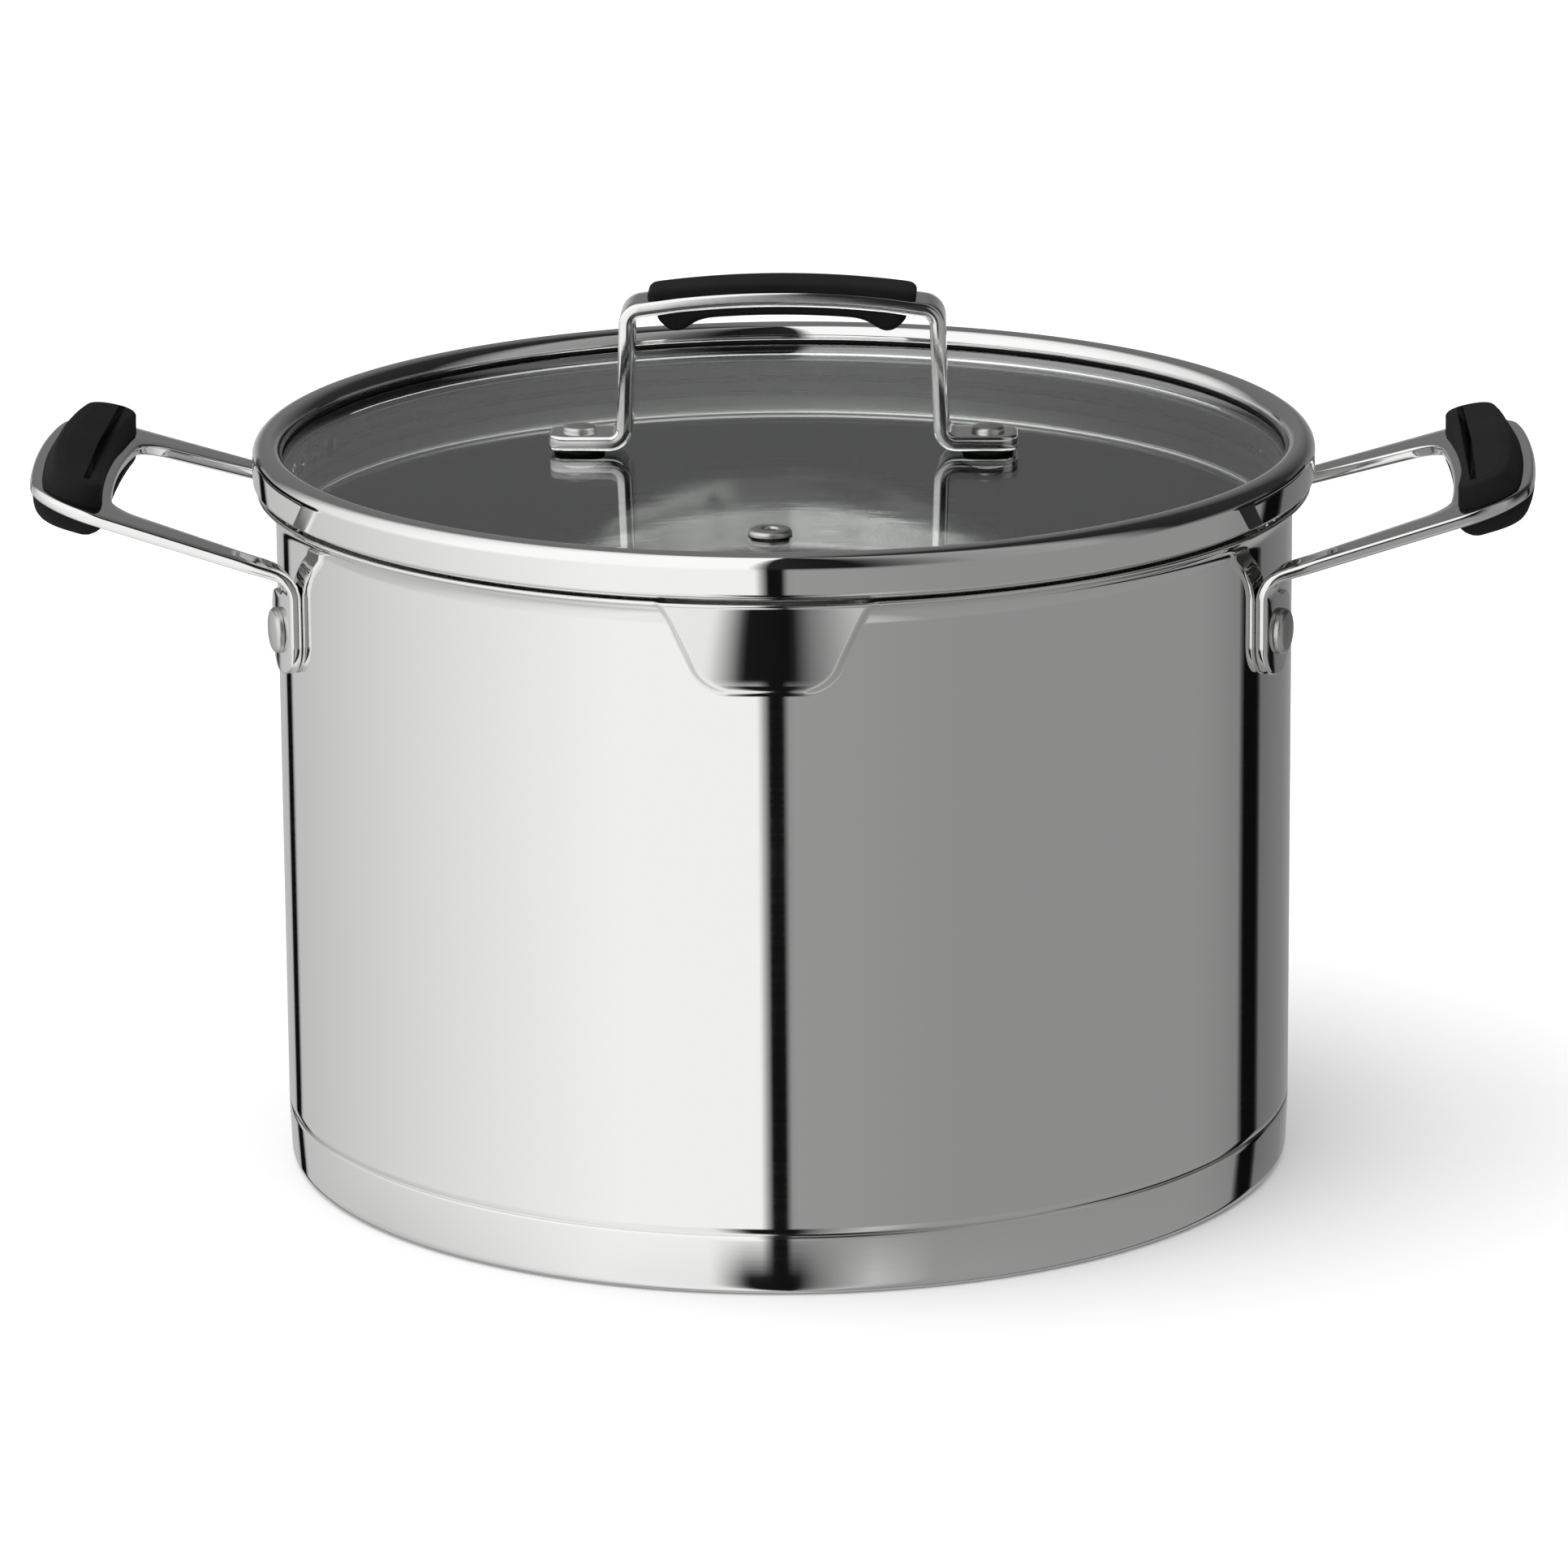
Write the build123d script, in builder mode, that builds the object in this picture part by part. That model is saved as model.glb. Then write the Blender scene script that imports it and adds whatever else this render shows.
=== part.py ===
# Stock pot with a pouring spout and a straining glass lid, in millimetres.
# +Z is up, the pot stands on z = 0, the side handles lie along X and the spout faces -Y.
import os
from math import asin, cos, degrees, radians, sin, sqrt, tan

from build123d import *

os.makedirs("parts", exist_ok=True)

# --- pot: driving dimensions ---
body_radius = 120.0  # outside of the straight wall
pot_height = 163.5  # table to the top of the pouring lip
wall = 0.9  # steel sheet of the shell
flare_radius = 5.4  # outward curl that makes the lip
flare_angle = 75.0
base_band = 14.3  # height of the capsule's side
cap_wall = 0.7  # magnetic steel cup under the pot
cap_corner = 2.6
core_thickness = 5.9  # aluminium disc
foot_corner = 6.0  # bend between the shell's floor and its side

spout_bottom = 21.1  # from the lip's top down to the crease
spout_bottom_half = 14.1
spout_side_lean = 24.0  # degrees from upright
spout_corner = 5.0
spout_step = 0.9  # how far the pressing stands out at its lower crease
spout_lip = 5.0  # and at the lip
spout_belly = 2.2
lip_round = 0.3  # the pressed skin stops this far under the lip's top

# --- side handles ---
handle_height = 152.2  # strap's middle plane where it passes the wall's radius
handle_slope = 16.7
strap_thickness = 2.8
handle_reach = 59.1  # along the slope, from the wall's radius to the outer end
finger_reach = 39.5  # along the slope, to the far end of the finger gap
handle_half_width = 44.6
wall_half_width = 47.8
finger_half_width = 34.0
finger_half_width_wall = 39.8
leg_straight = 3.0  # the legs run parallel from the wall this far past its radius
end_bulge = 3.6
end_corner = 18.0
finger_bulge = 2.2
finger_corner = 9.0
bend_radius = 8.0  # outside of the bend from the strap into its lug
lug_thickness = 2.7
lug_bottom = 126.0
lug_top = 144.9
lug_inner = 29.4
lug_corner = 8.0
lug_shoulder = 4.5
handle_rivet_offset = 38.6  # from the XZ plane, measured sideways
handle_rivet_height = 136.0
handle_rivet_shank = 2.5
handle_rivet_head = 5.4
handle_rivet_head_height = 2.2
inner_head_radius = 4.6
inner_head_height = 1.1

grip_half_length = 42.0
grip_outer_inset = 2.4  # steel left showing beyond the pad
grip_height = 5.6
grip_scoop = 2.8
grip_inner_corner = 5.0
grip_outer_corner = 9.5
grip_round = 2.0
finger_lap = 0.5  # of the pad's lobes past the middle of the finger gap's end
under_grip_depth = 6.2
under_grip_half = 37.5
under_grip_lap = 1.2  # past the upper pad, towards the finger gap
under_grip_inset = 0.8  # from the strap's outer end
under_scoop = 1.2
under_grip_round = 4.2
grip_slot_half_length = 27.0
grip_slot_width = 7.0

# --- lid ---
rim_sheet = 0.7
rim_outer = 125.25
roll_rise = 0.5  # straight part of the rolled lip
seat_corner = 0.6
rim_band_bottom = 1.45  # band's lower edge above the pot's lip
seat_gap = 0.3  # between the lid's flange and the pot's lip
seat_inset = 1.9  # of the seat's edge from the band's centre line
skirt_gap = 1.1  # between the skirt and the inside of the wall
skirt_depth = 15.2  # below the pot's lip
bead_radius = 0.9
strain_hole_drop = 4.9  # holes' centres below the pot's lip
coarse_hole = 2.7
coarse_count = 9
coarse_pitch = 4.9
fine_hole = 1.5
fine_count = 13
fine_pitch = 3.2

glass_thickness = 4.0
glass_lift = 2.8  # underside of the glass above the pot's lip
glass_radius = 121.8
gasket_web = 0.7
gasket_lap = 2.6  # of the silicone under the glass
gasket_lip = 0.5  # silicone between the rolled lip and the glass
rim_lap = 3.6  # of the rolled lip over the glass

lid_handle_half = 55.4
lid_leg_foot = 37.4  # middle of the leg at its foot
lid_leg_top = 36.4
lid_handle_rise = 37.3  # glass to the arch's middle line, at its centre
lid_arch = 3.0
lid_strap = 3.6
lid_strap_width = 13.6
lid_foot_bend = 3.6
lid_foot_corner = 4.5
lid_grip_round = 1.4
lid_rivet_half = 48.2
lid_rivet_shank = 2.5
lid_rivet_head = 3.7
lid_rivet_head_height = 1.8
lid_rivet_tail = 3.9
lid_rivet_tail_height = 1.2
lid_grip_half = 31.2
lid_grip_thickness = 2.3
lid_grip_width = 12.4
lid_under_half = 29.6
lid_under_thickness = 2.0
lobe_place = 25.4
lobe_depth = 4.6
lid_slot_half = 20.0
lid_slot_width = 5.0
foot_gasket = 0.9
foot_gasket_radius = 6.0
under_gasket = 0.8
backing_washer = 1.2
backing_radius = 6.0

vent_place = 87.0
vent_bore = 1.8
vent_sleeve = 3.2
vent_flange = 5.0
vent_under_flange = 4.4
vent_under_thickness = 0.8
vent_dome = 1.4
vent_gasket_thickness = 0.4

# --- levels and radii that follow ---
inner_radius = body_radius - wall
foot_radius = body_radius - cap_wall
floor_bottom = cap_wall + core_thickness
flare_drop = (flare_radius + wall) * sin(radians(flare_angle))
flare_level = pot_height - flare_drop
lug_radius = body_radius + lug_thickness
rivet_angle = degrees(asin(handle_rivet_offset / lug_radius))
glass_bottom = pot_height + glass_lift
glass_top = glass_bottom + glass_thickness


def export(piece, name):
    piece.part.label = name
    export_step(piece.part, f"parts/{name}.step")


def radial_plane(radius, angle, height):
    """A plane square to the wall, its normal pointing away from the pot's axis."""
    out = (cos(radians(angle)), sin(radians(angle)), 0)
    return Plane(
        origin=(radius * out[0], radius * out[1], height),
        x_dir=(-out[1], out[0], 0),
        z_dir=out,
    )


# Shell: drawn floor and wall, stepped in for the capsule, curled out to the lip.
curl = (body_radius + flare_radius, flare_level)
lip_from = 180 - flare_angle
lip_out = Vector(sin(radians(lip_from)), -cos(radians(lip_from)))
outer_end = Vector(*curl) + Vector(cos(radians(lip_from)), sin(radians(lip_from))) * flare_radius
inner_end = Vector(*curl) + Vector(cos(radians(lip_from)), sin(radians(lip_from))) * (flare_radius + wall)
lip_tip = (outer_end + inner_end) / 2 + lip_out * (wall / 2)

with BuildPart() as pot_shell:
    with BuildSketch(Plane.XZ):
        with BuildLine():
            corner = (foot_radius - foot_corner, floor_bottom + foot_corner)
            Line((0, floor_bottom), (corner[0], floor_bottom))
            CenterArc(corner, foot_corner, -90, 90)
            Polyline(
                (foot_radius, corner[1]),
                (foot_radius, base_band),
                (body_radius, base_band + cap_wall),
                (body_radius, flare_level),
            )
            CenterArc(curl, flare_radius, 180, -flare_angle)
            ThreePointArc(outer_end, lip_tip, inner_end)
            CenterArc(curl, flare_radius + wall, lip_from, flare_angle)
            Polyline(
                (inner_radius, flare_level),
                (inner_radius, base_band + cap_wall),
                (foot_radius - wall, base_band),
                (foot_radius - wall, corner[1]),
            )
            CenterArc(corner, foot_corner - wall, 0, -90)
            Line((corner[0], floor_bottom + wall), (0, floor_bottom + wall))
            Line((0, floor_bottom + wall), (0, floor_bottom))
        make_face()
    revolve(axis=Axis.Z)

# Spout: a trapezoid of the wall pressed outwards, deeper towards the lip.
crease = pot_height - spout_bottom
above = pot_height + 8
lean = tan(radians(spout_side_lean))


def spout_window(inset):
    """The pressing's outline seen from the front, drawn in by inset."""
    low = crease + inset
    half = spout_bottom_half - inset / cos(radians(spout_side_lean)) + inset * lean
    wide = half + (above - low) * lean
    with BuildSketch() as window:
        with BuildLine():
            Polyline((-half, low), (half, low), (wide, above), (-wide, above), close=True)
        make_face()
        fillet(window.vertices().group_by(Axis.Y)[0], spout_corner - inset)
    return window.sketch


def spout_side(inset, inside, top):
    """The region from radius inside out to the pressed skin, drawn in by inset, up to the level top."""
    foot = (body_radius + spout_step - inset, crease)
    middle = (body_radius + spout_belly - inset, (crease + pot_height) / 2)
    lip = (body_radius + spout_lip - inset, pot_height)
    with BuildSketch() as side:
        with BuildLine():
            ThreePointArc(foot, middle, lip)
            Polyline(lip, (lip[0], above), (inside, above), (inside, crease), foot)
        make_face()
        with Locations((0, top)):
            Rectangle(4 * body_radius, 4 * body_radius, align=(Align.CENTER, Align.MIN), mode=Mode.SUBTRACT)
    return side.sketch


with BuildPart() as spout_skin:
    with BuildSketch(Plane.XZ):
        add(spout_side(0, body_radius - wall / 2, pot_height - lip_round))
    revolve(axis=Axis.Z)
    with BuildSketch(Plane.XZ):
        add(spout_window(0))
    extrude(amount=2 * body_radius, mode=Mode.INTERSECT)

with BuildPart() as spout_hollow:
    with BuildSketch(Plane.XZ):
        add(spout_side(wall, body_radius - 20, above))
    revolve(axis=Axis.Z)
    with BuildSketch(Plane.XZ):
        add(spout_window(wall))
    extrude(amount=2 * body_radius, mode=Mode.INTERSECT)

rivet_angles = [rivet_angle, -rivet_angle, 180 + rivet_angle, 180 - rivet_angle]

with pot_shell:
    add(spout_skin.part)
    add(spout_hollow.part, mode=Mode.SUBTRACT)
    for angle in rivet_angles:
        with BuildSketch(radial_plane(body_radius, angle, handle_rivet_height)):
            Circle(handle_rivet_shank)
        extrude(amount=lug_thickness + 2 * wall, both=True, mode=Mode.SUBTRACT)
export(pot_shell, "pot_shell")

# Capsule base: a steel cup pressed over an aluminium disc.
with BuildPart() as base_cap:
    with BuildSketch(Plane.XZ):
        with BuildLine():
            corner = (body_radius - cap_corner, cap_corner)
            Line((0, 0), (corner[0], 0))
            CenterArc(corner, cap_corner, -90, 90)
            Polyline(
                (body_radius, cap_corner),
                (body_radius, base_band - cap_wall / 2),
                (body_radius - cap_wall / 2, base_band),
                (foot_radius, base_band),
                (foot_radius, cap_corner),
            )
            CenterArc(corner, cap_corner - cap_wall, 0, -90)
            Polyline((corner[0], cap_wall), (0, cap_wall), (0, 0))
        make_face()
    revolve(axis=Axis.Z)
export(base_cap, "base_cap")

core_top = floor_bottom + foot_corner * 0.65  # where the disc's edge ends beside the bend
core_reach = sqrt(foot_corner**2 - (floor_bottom + foot_corner - core_top) ** 2)
with BuildPart() as base_core:
    with BuildSketch(Plane.XZ):
        with BuildLine():
            Polyline((0, floor_bottom), (0, cap_wall), (corner[0], cap_wall))
            CenterArc(corner, cap_corner - cap_wall, -90, 90)
            Polyline(
                (foot_radius, cap_corner),
                (foot_radius, core_top),
                (foot_radius - foot_corner + core_reach, core_top),
            )
            RadiusArc(
                (foot_radius - foot_corner + core_reach, core_top),
                (foot_radius - foot_corner, floor_bottom),
                foot_corner,
            )
            Line((foot_radius - foot_corner, floor_bottom), (0, floor_bottom))
        make_face()
    revolve(axis=Axis.Z)
export(base_core, "base_core")

# Side handle on +X: a flat steel loop rising outwards, bent down into two lugs on the wall.
strap_plane = Plane(
    origin=(body_radius, 0, handle_height),
    x_dir=(cos(radians(handle_slope)), 0, sin(radians(handle_slope))),
    z_dir=(-sin(radians(handle_slope)), 0, cos(radians(handle_slope))),
)
strap_up = Axis((0, 0, 0), strap_plane.z_dir)
half_strap = strap_thickness / 2
slot_place = (finger_reach + handle_reach) / 2
behind = -body_radius / 4  # the legs are drawn past the wall, then trimmed to it


def strap_level(radius, across):
    """Height of the strap's middle plane on a cylinder, that far from the XZ plane."""
    return handle_height + (sqrt(radius**2 - across**2) - body_radius) * tan(radians(handle_slope))


# The necks end inside the strap: over its lowest underside and under its lowest top.
neck_top = (strap_level(lug_radius, finger_half_width_wall) + strap_level(body_radius, wall_half_width)) / 2


def lug_outline(side):
    """One lug seen from the side, with the neck that carries the strap above it."""
    width = wall_half_width - lug_inner
    neck = wall_half_width - finger_half_width_wall
    with BuildSketch() as tab:
        with Locations((side * (wall_half_width - width / 2), (lug_bottom + lug_top) / 2)):
            Rectangle(width, lug_top - lug_bottom)
        fillet(tab.vertices().group_by(Axis.Y)[0], lug_corner)
        fillet(tab.vertices().sort_by_distance((side * lug_inner, lug_top))[0], lug_shoulder)
        with Locations((side * (wall_half_width - neck / 2), (lug_top + neck_top) / 2)):
            Rectangle(neck, neck_top - lug_top + 2 * lug_shoulder)
        with Locations((0, neck_top)):
            Rectangle(4 * body_radius, lug_shoulder * 4, align=(Align.CENTER, Align.MIN), mode=Mode.SUBTRACT)
    return tab.sketch


def bend_edges(piece, radius):
    """The edges where the strap meets the cylinder of that radius, above the lugs."""
    chosen = []
    for edge in piece.edges():
        points = [edge.position_at(t) for t in (0, 0.5, 1)]
        on_wall = all(abs(sqrt(p.X**2 + p.Y**2) - radius) < 0.01 for p in points)
        across = abs(points[0].Y - points[2].Y)
        if on_wall and min(p.Z for p in points) > lug_top + 1 and across > 2 * strap_thickness:
            chosen.append(edge)
    return chosen


with BuildPart() as lugs:
    Cylinder(lug_radius, 4 * pot_height)
    Cylinder(body_radius, 4 * pot_height, mode=Mode.SUBTRACT)
    with BuildSketch(Plane.YZ):
        add(lug_outline(1))
        add(lug_outline(-1))
    extrude(amount=2 * body_radius, mode=Mode.INTERSECT)

with BuildPart() as right_handle:
    with BuildSketch(strap_plane.offset(-half_strap)) as loop:
        with BuildLine():
            end = handle_reach - end_bulge
            Polyline(
                (end, handle_half_width),
                (leg_straight, wall_half_width),
                (behind, wall_half_width),
                (behind, -wall_half_width),
                (leg_straight, -wall_half_width),
                (end, -handle_half_width),
            )
            ThreePointArc((end, -handle_half_width), (handle_reach, 0), (end, handle_half_width))
        make_face()
        fillet(loop.vertices().group_by(Axis.X)[-1], end_corner)
        with BuildLine():
            gap_end = finger_reach - finger_bulge
            Polyline(
                (gap_end, finger_half_width),
                (leg_straight, finger_half_width_wall),
                (behind * 2, finger_half_width_wall),
                (behind * 2, -finger_half_width_wall),
                (leg_straight, -finger_half_width_wall),
                (gap_end, -finger_half_width),
            )
            ThreePointArc((gap_end, -finger_half_width), (finger_reach, 0), (gap_end, finger_half_width))
        make_face(mode=Mode.SUBTRACT)
        fillet(
            [v for v in loop.vertices() if abs(abs(v.Y) - finger_half_width) < 0.01 and v.X > leg_straight],
            finger_corner,
        )
        with Locations((slot_place, 0)):
            SlotOverall(2 * grip_slot_half_length, grip_slot_width, rotation=90, mode=Mode.SUBTRACT)
    extrude(amount=strap_thickness)
    Cylinder(body_radius, 4 * pot_height, mode=Mode.SUBTRACT)
    add(lugs.part)
    fillet(bend_edges(right_handle, lug_radius), bend_radius - strap_thickness)
    fillet(bend_edges(right_handle, body_radius), bend_radius)
    for side in (1, -1):
        with BuildSketch(radial_plane(body_radius, side * rivet_angle, handle_rivet_height)):
            Circle(handle_rivet_shank)
        extrude(amount=2 * lug_thickness, both=True, mode=Mode.SUBTRACT)
export(right_handle, "right_handle")


def mirrored(piece, name):
    """The same piece on the -X side."""
    with BuildPart() as other:
        add(piece.part.mirror(Plane.YZ))
    export(other, name)


mirrored(right_handle, "left_handle")

# Two rivets per side handle: domed outside, flat and low inside the pot.
with BuildPart() as outer_heads:
    for side in (1, -1):
        with BuildSketch(radial_plane(lug_radius - wall, side * rivet_angle, handle_rivet_height)):
            Circle(handle_rivet_head)
        extrude(amount=wall + handle_rivet_head_height)
    round_edges = outer_heads.edges().filter_by(GeomType.CIRCLE)
    rims = [e for e in round_edges if sqrt(e.arc_center.X**2 + e.arc_center.Y**2) > lug_radius]
    fillet(rims, handle_rivet_head_height * 0.75)
    Cylinder(lug_radius, 4 * pot_height, mode=Mode.SUBTRACT)

with BuildPart() as right_handle_rivets:
    for side in (1, -1):
        inside = radial_plane(inner_radius - inner_head_height, side * rivet_angle, handle_rivet_height)
        with BuildSketch(inside):
            Circle(inner_head_radius)
        extrude(amount=inner_head_height + wall / 2)
    Cylinder(inner_radius, 4 * pot_height, mode=Mode.INTERSECT)
    for side in (1, -1):
        with BuildSketch(radial_plane(inner_radius - wall / 2, side * rivet_angle, handle_rivet_height)):
            Circle(handle_rivet_shank)
        extrude(amount=2 * wall + lug_thickness)
    add(outer_heads.part)
export(right_handle_rivets, "right_handle_rivets")
mirrored(right_handle_rivets, "left_handle_rivets")

# Grip of a side handle: one silicone moulding, a pad above, a neck in the slot, a belly below.
grip_outer = handle_reach - grip_outer_inset
grip_inner = finger_reach - finger_lap


def pad_outline(inner, outer, half, scoop):
    """A rounded pad across the handle, its inner side scooped and its outer side bulged."""
    with BuildSketch() as pad:
        with BuildLine():
            ThreePointArc((inner, -half), (inner + scoop, 0), (inner, half))
            Line((inner, half), (outer - end_bulge, half))
            ThreePointArc((outer - end_bulge, half), (outer, 0), (outer - end_bulge, -half))
            Line((outer - end_bulge, -half), (inner, -half))
        make_face()
        fillet(pad.vertices().group_by(Axis.X)[0], grip_inner_corner)
        fillet([v for v in pad.vertices() if abs(v.X - outer + end_bulge) < 0.01], grip_outer_corner)
    return pad.sketch


with BuildPart() as under_pad:
    with BuildSketch(strap_plane.offset(-half_strap)):
        under_outer = handle_reach - under_grip_inset
        add(pad_outline(grip_inner - under_grip_lap, under_outer, under_grip_half, under_scoop))
    extrude(amount=-under_grip_depth)
    fillet(under_pad.faces().sort_by(strap_up)[0].edges(), under_grip_round)

with BuildPart() as right_grip:
    with BuildSketch(strap_plane.offset(half_strap)):
        add(pad_outline(grip_inner, grip_outer, grip_half_length, grip_scoop))
    extrude(amount=grip_height)
    fillet(right_grip.faces().sort_by(strap_up)[-1].edges(), grip_round)
    with BuildSketch(strap_plane.offset(-half_strap - grip_round / 4)):
        with Locations((slot_place, 0)):
            SlotOverall(2 * grip_slot_half_length, grip_slot_width, rotation=90)
    extrude(amount=strap_thickness + grip_round / 2)
    add(under_pad.part)
export(right_grip, "right_grip")
mirrored(right_grip, "left_grip")

# Lid ring: sheet rolled over the glass, down the band, in under it and down as the skirt.
half_sheet = rim_sheet / 2
lip_radius = glass_radius - rim_lap + half_sheet
band_radius = rim_outer - half_sheet
seat_level = pot_height + seat_gap + half_sheet
skirt_radius = inner_radius - skirt_gap - half_sheet
roll_radius = (band_radius - lip_radius) / 2
roll_level = glass_top + gasket_lip + roll_rise

with BuildPart() as lid_rim:
    with BuildSketch(Plane.XZ):
        with BuildLine() as path:
            Line((lip_radius, glass_top + gasket_lip + half_sheet), (lip_radius, roll_level))
            CenterArc((lip_radius + roll_radius, roll_level), roll_radius, 180, -180)
            FilletPolyline(
                (band_radius, roll_level),
                (band_radius, pot_height + rim_band_bottom + half_sheet),
                (band_radius - seat_inset, pot_height + rim_band_bottom + half_sheet),
                (band_radius - seat_inset, seat_level),
                (skirt_radius, seat_level),
                (skirt_radius, pot_height - skirt_depth + bead_radius),
                radius=seat_corner,
            )
            offset(amount=half_sheet, side=Side.BOTH, mode=Mode.REPLACE)
        make_face()
        with Locations((skirt_radius, pot_height - skirt_depth + bead_radius)):
            Circle(bead_radius)
    revolve(axis=Axis.Z)
    rows = [(180, coarse_count, coarse_pitch, coarse_hole), (0, fine_count, fine_pitch, fine_hole)]
    for middle, count, pitch, radius in rows:
        for i in range(count):
            angle = middle + (i - (count - 1) / 2) * pitch
            with BuildSketch(radial_plane(skirt_radius, angle, pot_height - strain_hole_drop)):
                Circle(radius)
            extrude(amount=2 * rim_sheet, both=True, mode=Mode.SUBTRACT)
export(lid_rim, "lid_rim")

gasket_radius = glass_radius + gasket_web
flange_top = seat_level + half_sheet
with BuildPart() as rim_gasket:
    with BuildSketch(Plane.XZ):
        with BuildLine():
            Polyline(
                (glass_radius - rim_lap, glass_top),
                (glass_radius - rim_lap, glass_top + gasket_lip),
                (gasket_radius, glass_top + gasket_lip),
                (gasket_radius, flange_top),
                (glass_radius - gasket_lap, flange_top),
                (glass_radius - gasket_lap, glass_bottom),
                (glass_radius, glass_bottom),
                (glass_radius, glass_top),
                close=True,
            )
        make_face()
    revolve(axis=Axis.Z)
export(rim_gasket, "rim_gasket")

lid_rivets = [(-lid_rivet_half, 0), (lid_rivet_half, 0)]
with BuildPart() as lid_glass:
    with BuildSketch(Plane.XY.offset(glass_bottom)):
        Circle(glass_radius)
    extrude(amount=glass_thickness)
    with BuildSketch(Plane.XY.offset(glass_bottom)):
        with Locations(*lid_rivets):
            Circle(lid_rivet_shank)
        with Locations((0, -vent_place)):
            Circle(vent_sleeve)
    extrude(amount=glass_thickness, mode=Mode.SUBTRACT)
export(lid_glass, "lid_glass")

# Lid handle: strap bent up from two feet into an arched bar.
foot_level = glass_top + foot_gasket + lid_strap / 2
bar_level = glass_top + lid_handle_rise
arch_radius = (lid_leg_top**2 + lid_arch**2) / (2 * lid_arch)
arch_centre = bar_level - arch_radius
bend_level = bar_level - lid_arch

with BuildPart() as lid_handle:
    with BuildSketch(Plane.XZ):
        with BuildLine() as path:
            Polyline((-lid_handle_half, foot_level), (-lid_leg_foot, foot_level), (-lid_leg_top, bend_level))
            ThreePointArc((-lid_leg_top, bend_level), (0, bar_level), (lid_leg_top, bend_level))
            Polyline((lid_leg_top, bend_level), (lid_leg_foot, foot_level), (lid_handle_half, foot_level))
            fillet([v for v in path.vertices() if abs(v.X) < lid_handle_half - 1], lid_foot_bend)
            offset(amount=lid_strap / 2, side=Side.BOTH, mode=Mode.REPLACE)
        make_face()
    extrude(amount=lid_strap_width / 2, both=True)
    with BuildSketch(Plane.XY.offset(glass_top)):
        RectangleRounded(2 * lid_handle_half, lid_strap_width, lid_foot_corner)
    extrude(amount=2 * lid_handle_rise, mode=Mode.INTERSECT)
    with BuildSketch(Plane.XY.offset(glass_top)):
        with Locations(*lid_rivets):
            Circle(lid_rivet_shank)
    extrude(amount=2 * lid_strap, mode=Mode.SUBTRACT)
    with BuildSketch(Plane.XY.offset(bend_level)):
        SlotOverall(2 * lid_slot_half, lid_slot_width)
    extrude(amount=lid_handle_rise, both=True, mode=Mode.SUBTRACT)
export(lid_handle, "lid_handle")

# Grip of the lid handle: pad over the bar, neck through its slot, belly with two lobes.
bar_top = arch_radius + lid_strap / 2
bar_under = arch_radius - lid_strap / 2
with BuildPart() as lid_neck:
    with BuildSketch(Plane.XZ):
        with Locations((0, arch_centre)):
            Circle(bar_top + lid_grip_thickness / 2)
            Circle(bar_under - lid_under_thickness / 2, mode=Mode.SUBTRACT)
    extrude(amount=lid_slot_width, both=True)
    with BuildSketch(Plane.XY.offset(bend_level)):
        SlotOverall(2 * lid_slot_half, lid_slot_width)
    extrude(amount=lid_handle_rise, both=True, mode=Mode.INTERSECT)

with BuildPart() as lid_top_pad:
    with BuildSketch(Plane.XZ):
        with Locations((0, arch_centre)):
            Circle(bar_top + lid_grip_thickness)
            Circle(bar_top, mode=Mode.SUBTRACT)
        with Locations((0, bar_level)):
            Rectangle(2 * lid_grip_half, 4 * lid_strap, mode=Mode.INTERSECT)
    extrude(amount=lid_grip_width / 2, both=True)
    middles = [(e, e.center()) for e in lid_top_pad.edges()]
    crown_radius = bar_top + lid_grip_thickness - 0.1
    crown = [e for e, at in middles if sqrt(at.X**2 + (at.Z - arch_centre) ** 2) > crown_radius]
    fillet(crown, lid_grip_round)

with BuildPart() as lid_under_pad:
    with BuildSketch(Plane.XZ):
        with Locations((0, arch_centre)):
            Circle(bar_under)
            Circle(bar_under - lid_under_thickness, mode=Mode.SUBTRACT)
        with Locations((0, bar_level)):
            Rectangle(2 * lid_under_half, 4 * lid_strap, mode=Mode.INTERSECT)
        lobe_level = arch_centre + sqrt(bar_under**2 - lobe_place**2)
        with Locations((-lobe_place, lobe_level), (lobe_place, lobe_level)):
            Circle(lobe_depth)
        with Locations((0, arch_centre)):
            Circle(bar_under, mode=Mode.INTERSECT)
    extrude(amount=lid_grip_width / 2, both=True)

with BuildPart() as lid_grip:
    add(lid_neck.part)
    add(lid_top_pad.part)
    add(lid_under_pad.part)
export(lid_grip, "lid_grip")

# Washers, gaskets and rivets that hold the lid handle to the glass.
under_gasket_bottom = glass_bottom - under_gasket
washer_bottom = under_gasket_bottom - backing_washer


def rivet_discs(bottom, thickness, outer, name):
    """A ring round each lid rivet."""
    with BuildPart() as discs:
        with BuildSketch(Plane.XY.offset(bottom)):
            with Locations(*lid_rivets):
                Circle(outer)
                Circle(lid_rivet_shank, mode=Mode.SUBTRACT)
        extrude(amount=thickness)
    export(discs, name)


rivet_discs(glass_top, foot_gasket, foot_gasket_radius, "lid_foot_gaskets")
rivet_discs(under_gasket_bottom, under_gasket, foot_gasket_radius, "lid_under_gaskets")
rivet_discs(washer_bottom, backing_washer, backing_radius, "lid_backing_washers")

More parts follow.
